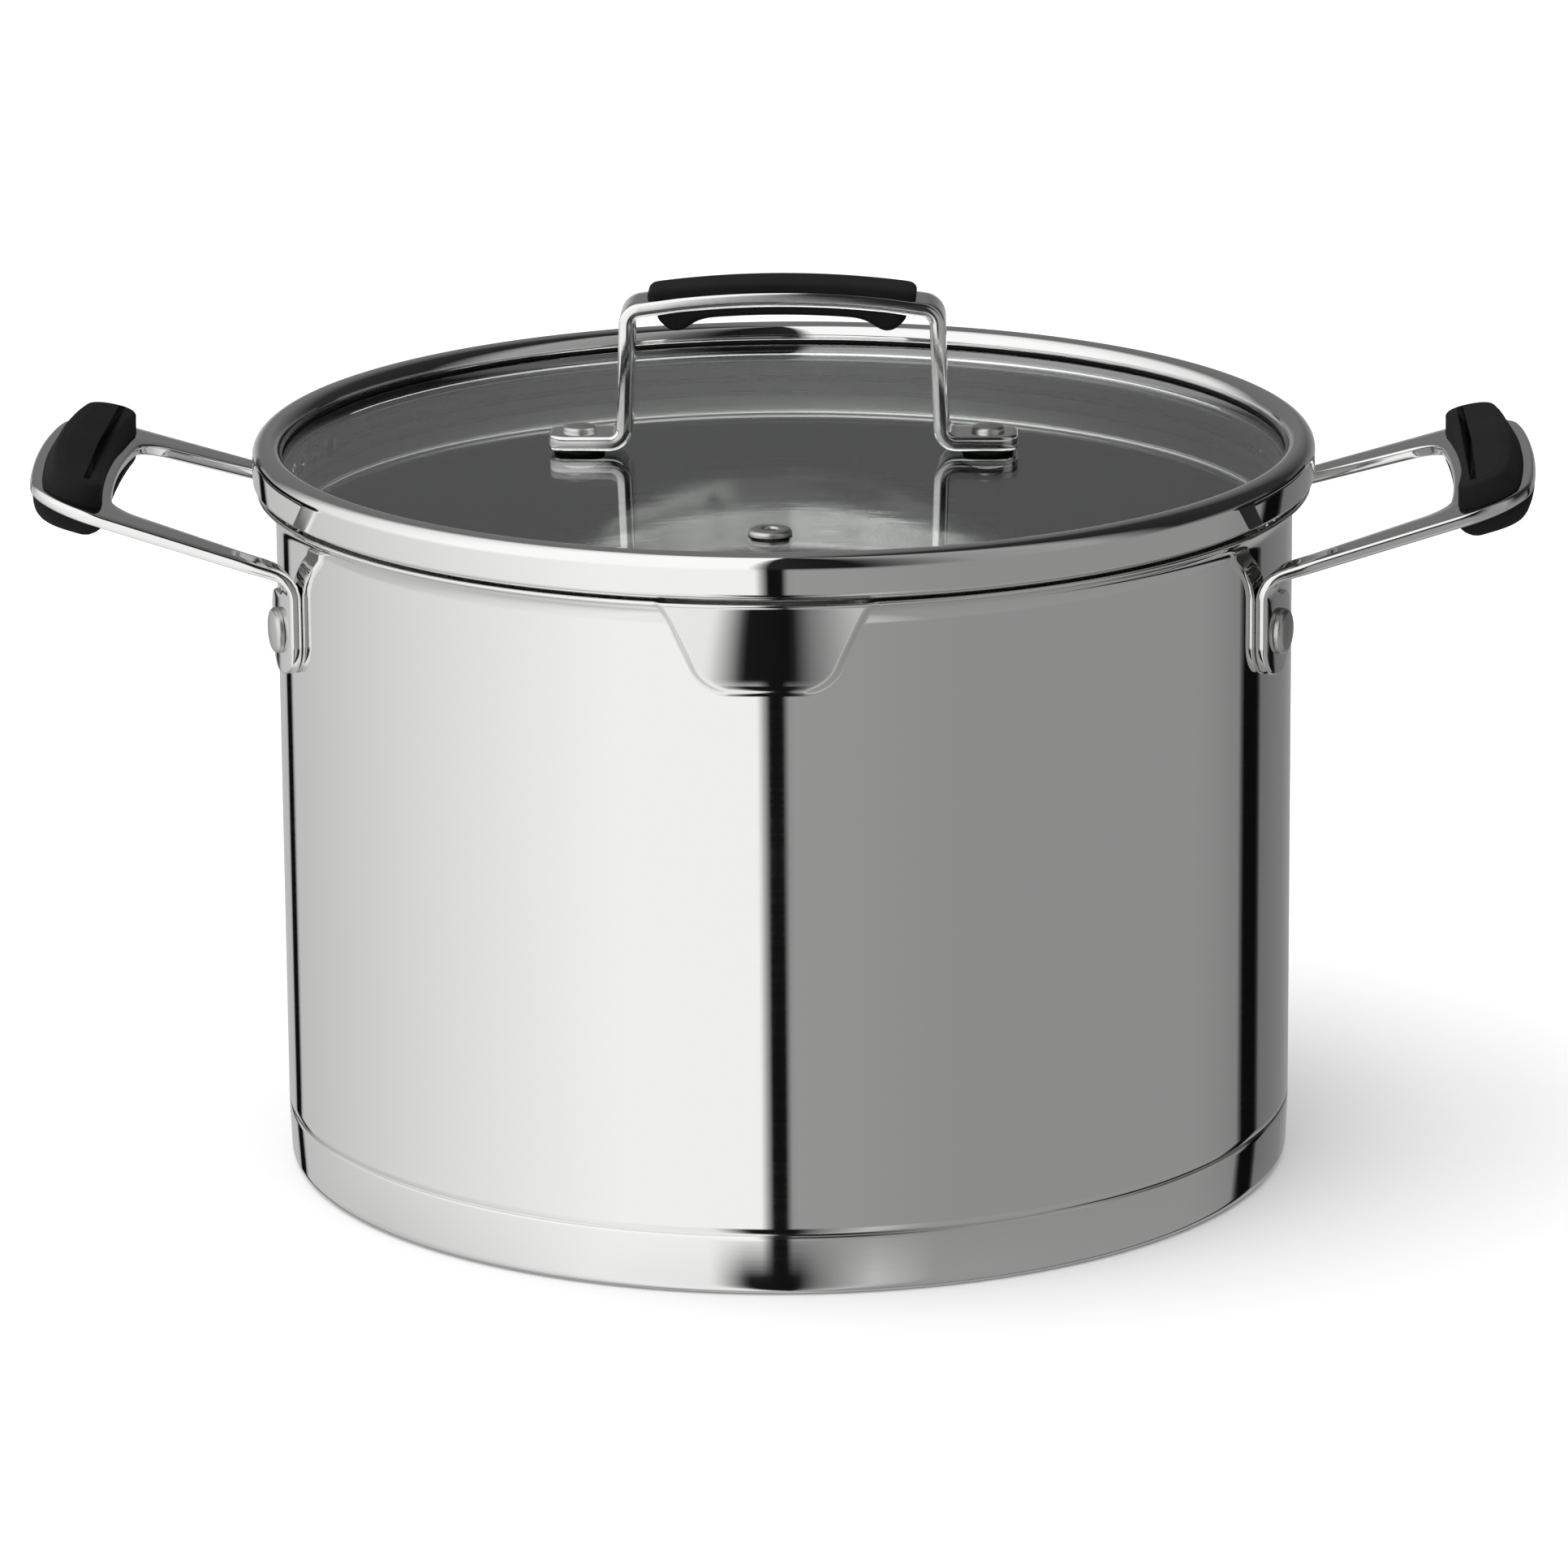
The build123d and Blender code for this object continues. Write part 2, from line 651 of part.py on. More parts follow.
head_level = foot_level + lid_strap / 2
with BuildPart() as lid_handle_rivets:
    with BuildSketch(Plane.XY.offset(head_level)):
        with Locations(*lid_rivets):
            Circle(lid_rivet_head)
    extrude(amount=lid_rivet_head_height)
    fillet(lid_handle_rivets.faces().group_by(Axis.Z)[-1].edges(), lid_rivet_head_height * 0.75)
    with BuildSketch(Plane.XY.offset(washer_bottom)):
        with Locations(*lid_rivets):
            Circle(lid_rivet_shank)
    extrude(amount=head_level - washer_bottom)
    with BuildSketch(Plane.XY.offset(washer_bottom)):
        with Locations(*lid_rivets):
            Circle(lid_rivet_tail)
    extrude(amount=-lid_rivet_tail_height)
    fillet(lid_handle_rivets.faces().group_by(Axis.Z)[0].edges(), lid_rivet_tail_height / 2)
export(lid_handle_rivets, "lid_handle_rivets")

# Steam vent: a rolled eyelet through the glass on a thin washer.
eyelet_seat = glass_top + vent_gasket_thickness
with BuildPart() as vent_eyelet:
    with BuildSketch(Plane.XY.offset(eyelet_seat)):
        with Locations((0, -vent_place)):
            Circle(vent_flange)
    extrude(amount=vent_dome)
    fillet(vent_eyelet.faces().sort_by(Axis.Z)[-1].edges(), vent_dome * 0.8)
    with BuildSketch(Plane.XY.offset(glass_bottom)):
        with Locations((0, -vent_place)):
            Circle(vent_sleeve)
    extrude(amount=eyelet_seat - glass_bottom)
    with BuildSketch(Plane.XY.offset(glass_bottom)):
        with Locations((0, -vent_place)):
            Circle(vent_under_flange)
    extrude(amount=-vent_under_thickness)
    with BuildSketch(Plane.XY.offset(glass_bottom - vent_under_thickness)):
        with Locations((0, -vent_place)):
            Circle(vent_bore)
    extrude(amount=2 * glass_thickness, mode=Mode.SUBTRACT)
export(vent_eyelet, "vent_eyelet")

with BuildPart() as vent_gasket:
    with BuildSketch(Plane.XY.offset(glass_top)):
        with Locations((0, -vent_place)):
            Circle(vent_flange)
            Circle(vent_sleeve, mode=Mode.SUBTRACT)
    extrude(amount=vent_gasket_thickness)
export(vent_gasket, "vent_gasket")
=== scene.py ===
import math

import bmesh
import bpy
import numpy as np
from mathutils import Matrix, Vector


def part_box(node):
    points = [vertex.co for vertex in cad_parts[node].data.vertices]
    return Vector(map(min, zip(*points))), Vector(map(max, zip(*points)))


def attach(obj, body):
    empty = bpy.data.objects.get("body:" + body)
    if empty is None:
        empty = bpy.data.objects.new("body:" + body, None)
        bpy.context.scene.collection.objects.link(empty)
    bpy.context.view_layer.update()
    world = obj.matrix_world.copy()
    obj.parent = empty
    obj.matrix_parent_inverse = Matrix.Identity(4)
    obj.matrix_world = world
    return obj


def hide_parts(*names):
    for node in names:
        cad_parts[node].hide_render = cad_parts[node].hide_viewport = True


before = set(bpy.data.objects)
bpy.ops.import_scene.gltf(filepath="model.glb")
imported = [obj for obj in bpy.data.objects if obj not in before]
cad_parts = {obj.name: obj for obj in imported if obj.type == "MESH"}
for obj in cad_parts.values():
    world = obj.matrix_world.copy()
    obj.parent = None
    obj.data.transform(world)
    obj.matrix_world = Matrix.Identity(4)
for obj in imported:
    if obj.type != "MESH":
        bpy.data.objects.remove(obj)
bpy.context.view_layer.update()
mm = 0.001  # every size in the dictionaries below is in millimetres
print("frame loaded:", len(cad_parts), "nodes")


# levels and radii that the pieces share, read off the frame
def nodeTop(node):
    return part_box(node)[1].z / mm


def nodeBottom(node):
    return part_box(node)[0].z / mm


lipLevel = nodeTop("pot_shell")
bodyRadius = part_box("base_cap")[1].x / mm
glassTop = nodeTop("lid_glass")
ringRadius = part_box("lid_rim")[1].x / mm


# small tools for shapes
def arcPoints(centre, radius, start, end, count):
    angles = np.radians(np.linspace(start, end, count))
    return [(centre[0] + radius * math.cos(a), centre[1] + radius * math.sin(a)) for a in angles]


def filletPath(points, radii, steps=8):
    # a polyline whose inner corners are rounded, one radius for each
    made = [points[0]]
    for i in range(1, len(points) - 1):
        here = np.array(points[i], float)
        back = np.array(points[i - 1], float) - here
        ahead = np.array(points[i + 1], float) - here
        back, ahead = back / np.linalg.norm(back), ahead / np.linalg.norm(ahead)
        radius = radii[i - 1]
        turn = math.acos(max(-1, min(1, float(back @ ahead))))
        if radius <= 0 or turn > math.pi - 1e-4:
            made.append(tuple(here))
            continue
        reach = radius / math.tan(turn / 2)
        centre = here + (back + ahead) / np.linalg.norm(back + ahead) * radius / math.sin(turn / 2)
        first, last = here + back * reach - centre, here + ahead * reach - centre
        sweep = math.pi - turn
        side = 1 if first[0] * last[1] - first[1] * last[0] > 0 else -1
        for k in range(steps + 1):
            a = side * sweep * k / steps
            made.append((
                float(centre[0] + first[0] * math.cos(a) - first[1] * math.sin(a)),
                float(centre[1] + first[0] * math.sin(a) + first[1] * math.cos(a)),
            ))
    made.append(points[-1])
    return made


def spread(points, gap):
    # extra points so that no run is longer than the gap
    made = [points[0]]
    for a, b in zip(points, points[1:]):
        count = max(1, math.ceil(math.dist(a, b) / gap))
        made += [tuple(np.array(a) + (np.array(b) - np.array(a)) * k / count) for k in range(1, count + 1)]
    return made


def sheetOutline(path, thickness, endSteps=4):
    # the closed outline of a bent sheet, its two ends rounded
    p = np.array(path, float)
    along = np.gradient(p, axis=0)
    along /= np.linalg.norm(along, axis=1)[:, None]
    normal = np.stack([-along[:, 1], along[:, 0]], 1)
    half = thickness / 2
    left, right = p + normal * half, p - normal * half
    def cap(centre, start):
        first = math.degrees(math.atan2(start[1] - centre[1], start[0] - centre[0]))
        return arcPoints(centre, half, first, first - 180, endSteps + 2)[1:-1]
    return [tuple(q) for q in left] + cap(p[-1], left[-1]) + [
        tuple(q) for q in right[::-1]
    ] + cap(p[0], right[0])


def gridFaces(rings, around, closedRings=True, closedAround=True):
    faces = []
    for i in range(rings if closedRings else rings - 1):
        a, b = i * around, (i + 1) % rings * around
        for j in range(around if closedAround else around - 1):
            k = (j + 1) % around
            faces.append((a + j, a + k, b + k, b + j))
    return faces


def latheGrid(profile, angles):
    # an outline of (radius, height) stood at each of the angles about the axis
    return [(r * math.cos(a), r * math.sin(a), z) for a in angles for r, z in profile]


def turnedShell(profile, count, closed):
    # the profile turned right round the axis; one that isn't closed starts and ends on the axis
    angles = np.linspace(0, 2 * math.pi, count, endpoint=False)
    return latheGrid(profile, angles), gridFaces(count, len(profile), True, closed)


def buildMesh(name, parts, sharp=38):
    # parts are (vertices in millimetres, faces); doubles are merged and every shell points outwards
    mesh = bpy.data.meshes.new(name)
    build = bmesh.new()
    for verts, faces in parts:
        part = bpy.data.meshes.new("part")
        part.from_pydata([tuple(c * mm for c in v) for v in verts], [], faces)
        own = bmesh.new()
        own.from_mesh(part)
        bmesh.ops.remove_doubles(own, verts=own.verts, dist=1e-7)
        bmesh.ops.dissolve_degenerate(own, dist=1e-7, edges=own.edges)
        bmesh.ops.recalc_face_normals(own, faces=own.faces)
        if own.calc_volume(signed=True) < 0:
            bmesh.ops.reverse_faces(own, faces=own.faces)
        own.to_mesh(part)
        own.free()
        build.from_mesh(part)
        bpy.data.meshes.remove(part)
    build.to_mesh(mesh)
    build.free()
    mesh.shade_smooth()
    mesh.set_sharp_from_angle(angle=math.radians(sharp))
    return mesh


def placePiece(name, mesh, materials, body, replaced=()):
    piece = bpy.data.objects.new(name, mesh)
    bpy.context.scene.collection.objects.link(piece)
    mesh.materials.clear()
    for material in materials:
        mesh.materials.append(material)
    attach(piece, body)
    if replaced:
        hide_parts(*replaced)
    return piece


# small tools for materials
def srgb(code):
    parts = [int(code[i:i + 2], 16) / 255 for i in (1, 3, 5)]
    return tuple(c / 12.92 if c <= 0.04045 else ((c + 0.055) / 1.055) ** 2.4 for c in parts) + (1.0,)


def addNode(tree, kind, values=None, links=None, **settings):
    node = tree.nodes.new(kind)
    for key, value in settings.items():
        setattr(node, key, value)
    for socket, value in (values or {}).items():
        node.inputs[socket].default_value = value
    for socket, source in (links or {}).items():
        tree.links.new(source, node.inputs[socket])
    return node


def newMaterial(name):
    material = bpy.data.materials.new(name)
    material.use_nodes = True
    material.node_tree.nodes.clear()
    return material, material.node_tree


def setRamp(node, stops):
    ramp = node.color_ramp
    while len(ramp.elements) > 1:
        ramp.elements.remove(ramp.elements[-1])
    for i, (place, value) in enumerate(stops):
        element = ramp.elements[0] if i == 0 else ramp.elements.new(place)
        element.position = place
        element.color = (value, value, value, 1)


def surfaceOutput(tree, shader):
    addNode(tree, "ShaderNodeOutputMaterial", links={"Surface": shader.outputs[0]})


# Stainless steel, deep drawn and buffed to a mirror: reflections are sharp, with a faint
# haze from the buffing and hairlines that only show against something dark.
mirrorSteelLook = {"colour": "#efefee", "roughness": 0.025, "haze": 0.03, "hairline": 0.35, "ripple": 0.012}


def mirrorSteel(name, look):
    material, tree = newMaterial(name)
    place = addNode(tree, "ShaderNodeTexCoord")
    streakPlace = addNode(
        tree, "ShaderNodeMapping", {"Scale": (30, 30, 1000 / look["hairline"] / 3)},
        {"Vector": place.outputs["Object"]},
    )
    streaks = addNode(
        tree, "ShaderNodeTexNoise", {"Scale": 1.0, "Detail": 3.0, "Roughness": 0.6},
        {"Vector": streakPlace.outputs[0]},
    )
    clouds = addNode(
        tree, "ShaderNodeTexNoise", {"Scale": 14.0, "Detail": 2.0}, {"Vector": place.outputs["Object"]}
    )
    both = addNode(
        tree, "ShaderNodeMath", links={0: streaks.outputs["Fac"], 1: clouds.outputs["Fac"]},
        operation="MULTIPLY"
    )
    rough = addNode(
        tree, "ShaderNodeMapRange",
        {
            "From Min": 0.1, "From Max": 0.45, "To Min": look["roughness"],
            "To Max": look["roughness"] + look["haze"]
        },
        {"Value": both.outputs[0]},
    )
    bump = addNode(
        tree, "ShaderNodeBump", {"Strength": look["ripple"], "Distance": 0.2 * mm},
        {"Height": streaks.outputs["Fac"]}
    )
    shader = addNode(
        tree, "ShaderNodeBsdfPrincipled", {"Base Color": srgb(look["colour"]), "Metallic": 1.0},
        {"Roughness": rough.outputs[0], "Normal": bump.outputs[0]},
    )
    surfaceOutput(tree, shader)
    return material


# The lid's skirt is satin: spun against a belt, so the lines run round.
spunSteelLook = {"colour": "#e8e8e6", "roughness": 0.3, "lineGap": 0.5, "depth": 0.3, "anisotropic": 0.7}


def spunSteel(name, look):
    material, tree = newMaterial(name)
    place = addNode(tree, "ShaderNodeTexCoord")
    apart = addNode(tree, "ShaderNodeSeparateXYZ", links={0: place.outputs["Object"]})
    flat = addNode(tree, "ShaderNodeCombineXYZ", links={0: apart.outputs[0], 1: apart.outputs[1]})
    radius = addNode(tree, "ShaderNodeVectorMath", links={0: flat.outputs[0]}, operation="LENGTH")
    rings = addNode(tree, "ShaderNodeCombineXYZ", links={0: radius.outputs["Value"], 1: apart.outputs[2]})
    lines = addNode(
        tree, "ShaderNodeTexNoise", {"Scale": 1 / (look["lineGap"] * mm), "Detail": 3.0, "Roughness": 0.7},
        {"Vector": rings.outputs[0]},
    )
    rough = addNode(
        tree, "ShaderNodeMapRange",
        {
            "From Min": 0.3, "From Max": 0.7, "To Min": look["roughness"] * 0.8,
            "To Max": look["roughness"] * 1.25
        },
        {"Value": lines.outputs["Fac"]},
    )
    bump = addNode(
        tree, "ShaderNodeBump", {"Strength": look["depth"], "Distance": 0.02 * mm},
        {"Height": lines.outputs["Fac"]}
    )
    shader = addNode(
        tree, "ShaderNodeBsdfPrincipled",
        {"Base Color": srgb(look["colour"]), "Metallic": 1.0, "Anisotropic": look["anisotropic"]},
        {"Roughness": rough.outputs[0], "Normal": bump.outputs[0]},
    )
    surfaceOutput(tree, shader)
    return material


# Rivets are cold-headed and tumbled, which leaves an even satin.
tumbledSteelLook = {"colour": "#dcdcda", "roughness": 0.34, "grain": 0.25}


def tumbledSteel(name, look):
    material, tree = newMaterial(name)
    place = addNode(tree, "ShaderNodeTexCoord")
    grain = addNode(
        tree, "ShaderNodeTexNoise", {"Scale": 1 / (look["grain"] * mm), "Detail": 2.0},
        {"Vector": place.outputs["Object"]}
    )
    rough = addNode(
        tree, "ShaderNodeMapRange",
        {
            "From Min": 0.3, "From Max": 0.7, "To Min": look["roughness"] - 0.05,
            "To Max": look["roughness"] + 0.08
        },
        {"Value": grain.outputs["Fac"]},
    )
    bump = addNode(
        tree, "ShaderNodeBump", {"Strength": 0.15, "Distance": 0.01 * mm}, {"Height": grain.outputs["Fac"]}
    )
    shader = addNode(
        tree, "ShaderNodeBsdfPrincipled", {"Base Color": srgb(look["colour"]), "Metallic": 1.0},
        {"Roughness": rough.outputs[0], "Normal": bump.outputs[0]},
    )
    surfaceOutput(tree, shader)
    return material


# Black silicone rubber, compression moulded in a spark-eroded tool: a fine even grain, no gloss.
siliconeLook = {"colour": "#101010", "worn": "#191919", "roughness": 0.85, "grain": 0.28}


def mouldedSilicone(name, look):
    material, tree = newMaterial(name)
    place = addNode(tree, "ShaderNodeTexCoord")
    grain = addNode(
        tree, "ShaderNodeTexNoise", {"Scale": 1 / (look["grain"] * mm), "Detail": 3.0, "Roughness": 0.6},
        {"Vector": place.outputs["Object"]},
    )
    patches = addNode(
        tree, "ShaderNodeTexNoise", {"Scale": 60.0, "Detail": 2.0}, {"Vector": place.outputs["Object"]}
    )
    tone = addNode(
        tree, "ShaderNodeMix", {6: srgb(look["colour"]), 7: srgb(look["worn"])},
        {0: patches.outputs["Fac"]},
        data_type="RGBA",
    )
    rough = addNode(
        tree, "ShaderNodeMapRange",
        {
            "From Min": 0.3, "From Max": 0.7, "To Min": look["roughness"] - 0.08,
            "To Max": look["roughness"] + 0.08
        },
        {"Value": grain.outputs["Fac"]},
    )
    bump = addNode(
        tree, "ShaderNodeBump", {"Strength": 0.5, "Distance": 0.06 * mm}, {"Height": grain.outputs["Fac"]}
    )
    shader = addNode(
        tree, "ShaderNodeBsdfPrincipled", {"IOR": 1.42, "Specular IOR Level": 0.3},
        {"Base Color": tone.outputs[2], "Roughness": rough.outputs[0], "Normal": bump.outputs[0]},
    )
    surfaceOutput(tree, shader)
    return material


# Float glass, tempered: clear and flat, with the least trace of wiping on its face.
temperedGlassLook = {"colour": "#f4f7f6", "roughness": 0.0, "smear": 0.02}


def temperedGlass(name, look):
    material, tree = newMaterial(name)
    place = addNode(tree, "ShaderNodeTexCoord")
    smear = addNode(
        tree, "ShaderNodeTexNoise", {"Scale": 25.0, "Detail": 3.0}, {"Vector": place.outputs["Object"]}
    )
    rough = addNode(
        tree, "ShaderNodeMapRange",
        {
            "From Min": 0.5, "From Max": 0.8, "To Min": look["roughness"],
            "To Max": look["roughness"] + look["smear"]
        },
        {"Value": smear.outputs["Fac"]},
    )
    shader = addNode(
        tree, "ShaderNodeBsdfPrincipled",
        {"Base Color": srgb(look["colour"]), "IOR": 1.52, "Transmission Weight": 1.0},
        {"Roughness": rough.outputs[0]},
    )
    surfaceOutput(tree, shader)
    return material


# Aluminium disc inside the base, rolled and left as it came.
coreAluminiumLook = {"colour": "#d8d9da", "roughness": 0.42, "grain": 0.6}

bodySteel = mirrorSteel("buffedStainlessBody", mirrorSteelLook)
ringSteel = mirrorSteel("buffedStainlessRing", dict(mirrorSteelLook, roughness=0.02))
strapSteel = mirrorSteel("buffedStainlessStrap", dict(mirrorSteelLook, roughness=0.05, haze=0.05))
skirtSteel = spunSteel("spunStainlessSkirt", spunSteelLook)
rivetSteel = tumbledSteel("tumbledStainlessRivet", tumbledSteelLook)
blackSilicone = mouldedSilicone("mouldedBlackSilicone", siliconeLook)
lidGlass = temperedGlass("temperedFloatGlass", temperedGlassLook)
coreAluminium = tumbledSteel("rolledAluminiumCore", coreAluminiumLook)
print("materials made")


# pot shell: drawn wall, curled lip, spout pressed out of the front
potShell = {
    "wall": 0.9,
    "floor": 6.6,
    "footCorner": 6.0,
    "band": 14.3,
    "bandStep": 0.7,
    "flareRadius": 5.4,
    "flareAngle": 75.0,
    "spoutDepth": 21.1,  # from the lip down to the crease
    "spoutHalf": 14.1,  # half the crease's width
    "spoutLean": 24.0,
    "spoutCorner": 5.0,
    "spoutPush": (0.9, 2.2, 5.0),  # at the crease, half way and at the lip
    "spoutBlend": 1.9,  # width of the bend from wall to spout
}


def smoothStep(t):
    t = np.clip(t, 0, 1)
    return t * t * (3 - 2 * t)


def potShellProfile(size):
    wall, flare = size["wall"], size["flareRadius"]
    flareLevel = lipLevel - (flare + wall) * math.sin(math.radians(size["flareAngle"]))
    curl = (bodyRadius + flare, flareLevel)
    foot = bodyRadius - size["bandStep"]
    corner = (foot - size["footCorner"], size["floor"] + size["footCorner"])
    lipFrom = 180 - size["flareAngle"]
    levels = [60, 110, 136] + list(np.arange(139, flareLevel, 0.45))
    outside = [(0, size["floor"]), (60, size["floor"])]
    outside += arcPoints(corner, size["footCorner"], -90, 0, 8)
    outside += [(foot, size["band"] - 0.1), (foot, size["band"])]
    outside += [(bodyRadius - 0.15, size["band"] + 0.55), (bodyRadius, size["band"] + 0.85)]
    outside += [(bodyRadius, size["band"] + 2)] + [(bodyRadius, z) for z in levels]
    outside += arcPoints(curl, flare, 180, lipFrom, 12)
    tipCentre = (
        curl[0] + math.cos(math.radians(lipFrom)) * (flare + wall / 2),
        curl[1] + math.sin(math.radians(lipFrom)) * (flare + wall / 2),
    )
    tip = arcPoints(tipCentre, wall / 2, lipFrom - 180, lipFrom, 8)[1:-1]
    inside = arcPoints(curl, flare + wall, lipFrom, 180, 12)
    inside += [(bodyRadius - wall, z) for z in levels[::-1]]
    inside += [(bodyRadius - wall, size["band"] + 1), (foot - wall, size["band"])]
    inside += arcPoints(corner, size["footCorner"] - wall, 0, -90, 8)
    inside += [(60, size["floor"] + wall), (0, size["floor"] + wall)]
    return outside + tip + inside, flareLevel


def spoutReach(size, across, z, flareLevel):
    # how far the press moves the wall outwards at that place
    lean = math.tan(math.radians(size["spoutLean"]))
    height = z - (lipLevel - size["spoutDepth"])
    side = (np.abs(across) - size["spoutHalf"] - height * lean) * math.cos(math.radians(size["spoutLean"]))
    below = -height
    corner = size["spoutCorner"]
    distance = np.minimum(np.maximum(side, below), -corner) + np.hypot(
        np.maximum(side + corner, 0), np.maximum(below + corner, 0)
    )
    share = smoothStep(0.5 - distance / size["spoutBlend"])
    low, middle, high = size["spoutPush"]
    t = height / size["spoutDepth"]
    push = low + (4 * middle - 3 * low - high) * t + (2 * low + 2 * high - 4 * middle) * t * t
    rise = np.clip(z - flareLevel, 0, size["flareRadius"] * 0.965)
    flareOut = size["flareRadius"] - np.sqrt(size["flareRadius"] ** 2 - rise**2)
    return share * np.logaddexp(0, (push - flareOut) * 4) / 4


def makePotShell(size):
    profile, flareLevel = potShellProfile(size)
    fine = np.radians(np.arange(-15, 15.01, 0.2))
    coarse = np.radians(np.arange(16, 344.5, 1.0))
    angles = np.concatenate([fine, coarse]) - math.pi / 2
    verts = []
    for a in angles:
        fromFront = (a + math.pi / 2 + math.pi) % (2 * math.pi) - math.pi
        for r, z in profile:
            reach = 0
            if abs(fromFront) < 0.3 and z > lipLevel - size["spoutDepth"] - 4:
                reach = float(spoutReach(size, fromFront * bodyRadius, z, flareLevel))
            verts.append(((r + reach) * math.cos(a), (r + reach) * math.sin(a), z))
    faces = gridFaces(len(angles), len(profile), True, False)
    mesh = buildMesh("potShell", [(verts, faces)], sharp=50)
    return placePiece("potShell", mesh, [bodySteel], "pot", ["pot_shell"])


makePotShell(potShell)
print("pot shell made")


# base: steel cup over the aluminium disc
baseCup = {"sheet": 0.7, "corner": 2.6, "height": 14.3, "edge": 0.35, "lean": 0.4}


def makeBaseCup(size):
    corner = (bodyRadius - size["lean"] - size["corner"], size["corner"])
    inner = bodyRadius - size["sheet"]
    profile = [(0, 0), (60, 0)] + arcPoints(corner, size["corner"], -90, 0, 10)
    profile += [(bodyRadius, size["height"] - 1), (bodyRadius, size["height"] - size["edge"])]
    profile += [(bodyRadius - 0.1, size["height"] - 0.1), (bodyRadius - size["edge"], size["height"])]
    profile += [(inner, size["height"]), (inner - size["lean"], size["corner"])]
    profile += arcPoints(
        corner, size["corner"] - size["sheet"], 0, -90, 8
    ) + [(60, size["sheet"]), (0, size["sheet"])]
    mesh = buildMesh("baseCup", [turnedShell(profile, 360, False)])
    return placePiece("baseCup", mesh, [bodySteel], "pot", ["base_cap"])


makeBaseCup(baseCup)
print("base made")


# side handles: flat strap bent down into two lugs
sideStrap = {
    "level": 152.2,  # strap's middle plane at the wall's radius
    "slope": 16.7,
    "thickness": 2.8,
    "edge": 0.9,
    "bend": 6.6,  # middle of the sheet
    "reach": 176.6,  # outer end, from the pot's axis
    "bulge": 3.45,
    "fingerEnd": 157.8,
    "fingerBulge": 2.1,
    "outerHalf": 44.6,
    "outerHalfWall": 47.8,
    "innerHalf": 34.0,
    "innerHalfWall": 39.8,
    "straightTo": 122.9,
    "outerCorner": 17.5,
    "innerCorner": 8.8,
    "lugBottom": 126.0,
    "lugTop": 144.9,
    "lugInner": 29.4,
    "lugCorner": 8.0,
    "lugShoulder": 4.5,
}


def strapWall(size, y):
    return np.sqrt((bodyRadius + size["thickness"] / 2) ** 2 - y**2)


def strapToSheet(size, x, y):
    # a place on the sloping strap as a length along the flat sheet
    slope = math.radians(size["slope"])
    turn = math.pi / 2 - slope
    return size["bend"] * (turn - math.tan(turn / 2)) + (x - strapWall(size, y)) / math.cos(slope)


def lugToSheet(size, z, y):
    slope = math.radians(size["slope"])
    turn = math.pi / 2 - slope
    crossing = size["level"] + (strapWall(size, y) - bodyRadius) * math.tan(slope)
    return z - (crossing - size["bend"] * math.tan(turn / 2))


def sheetToSpace(size, s, y, lift):
    # folds the flat sheet: up the wall, round the bend, out along the slope
    slope = math.radians(size["slope"])
    turn = math.pi / 2 - slope
    reach = size["bend"] * math.tan(turn / 2)
    wallX = strapWall(size, y)
    crossing = size["level"] + (wallX - bodyRadius) * math.tan(slope)
    swept = np.clip(s / size["bend"], 0, turn)
    past = np.maximum(s - size["bend"] * turn, 0)
    x = wallX + size["bend"] * (1 - np.cos(swept)) + past * math.cos(slope)
    z = crossing - reach + np.minimum(s, 0) + size["bend"] * np.sin(swept) + past * math.sin(slope)
    hug = 1 - smoothStep(swept / turn)
    azimuth = np.arctan2(y, wallX) * hug
    normal = np.stack(
        [-np.cos(swept) * np.cos(azimuth), -np.cos(swept) * np.sin(azimuth), np.sin(swept)], -1
    )
    return np.stack([x, y, z], -1) + normal * lift[..., None]


def resample(points, count):
    p = np.array(points, float)
    along = np.concatenate([[0], np.cumsum(np.linalg.norm(np.diff(p, axis=0), axis=1))])
    wanted = np.linspace(0, along[-1], count)
    return np.stack([np.interp(wanted, along, p[:, i]) for i in range(2)], 1)


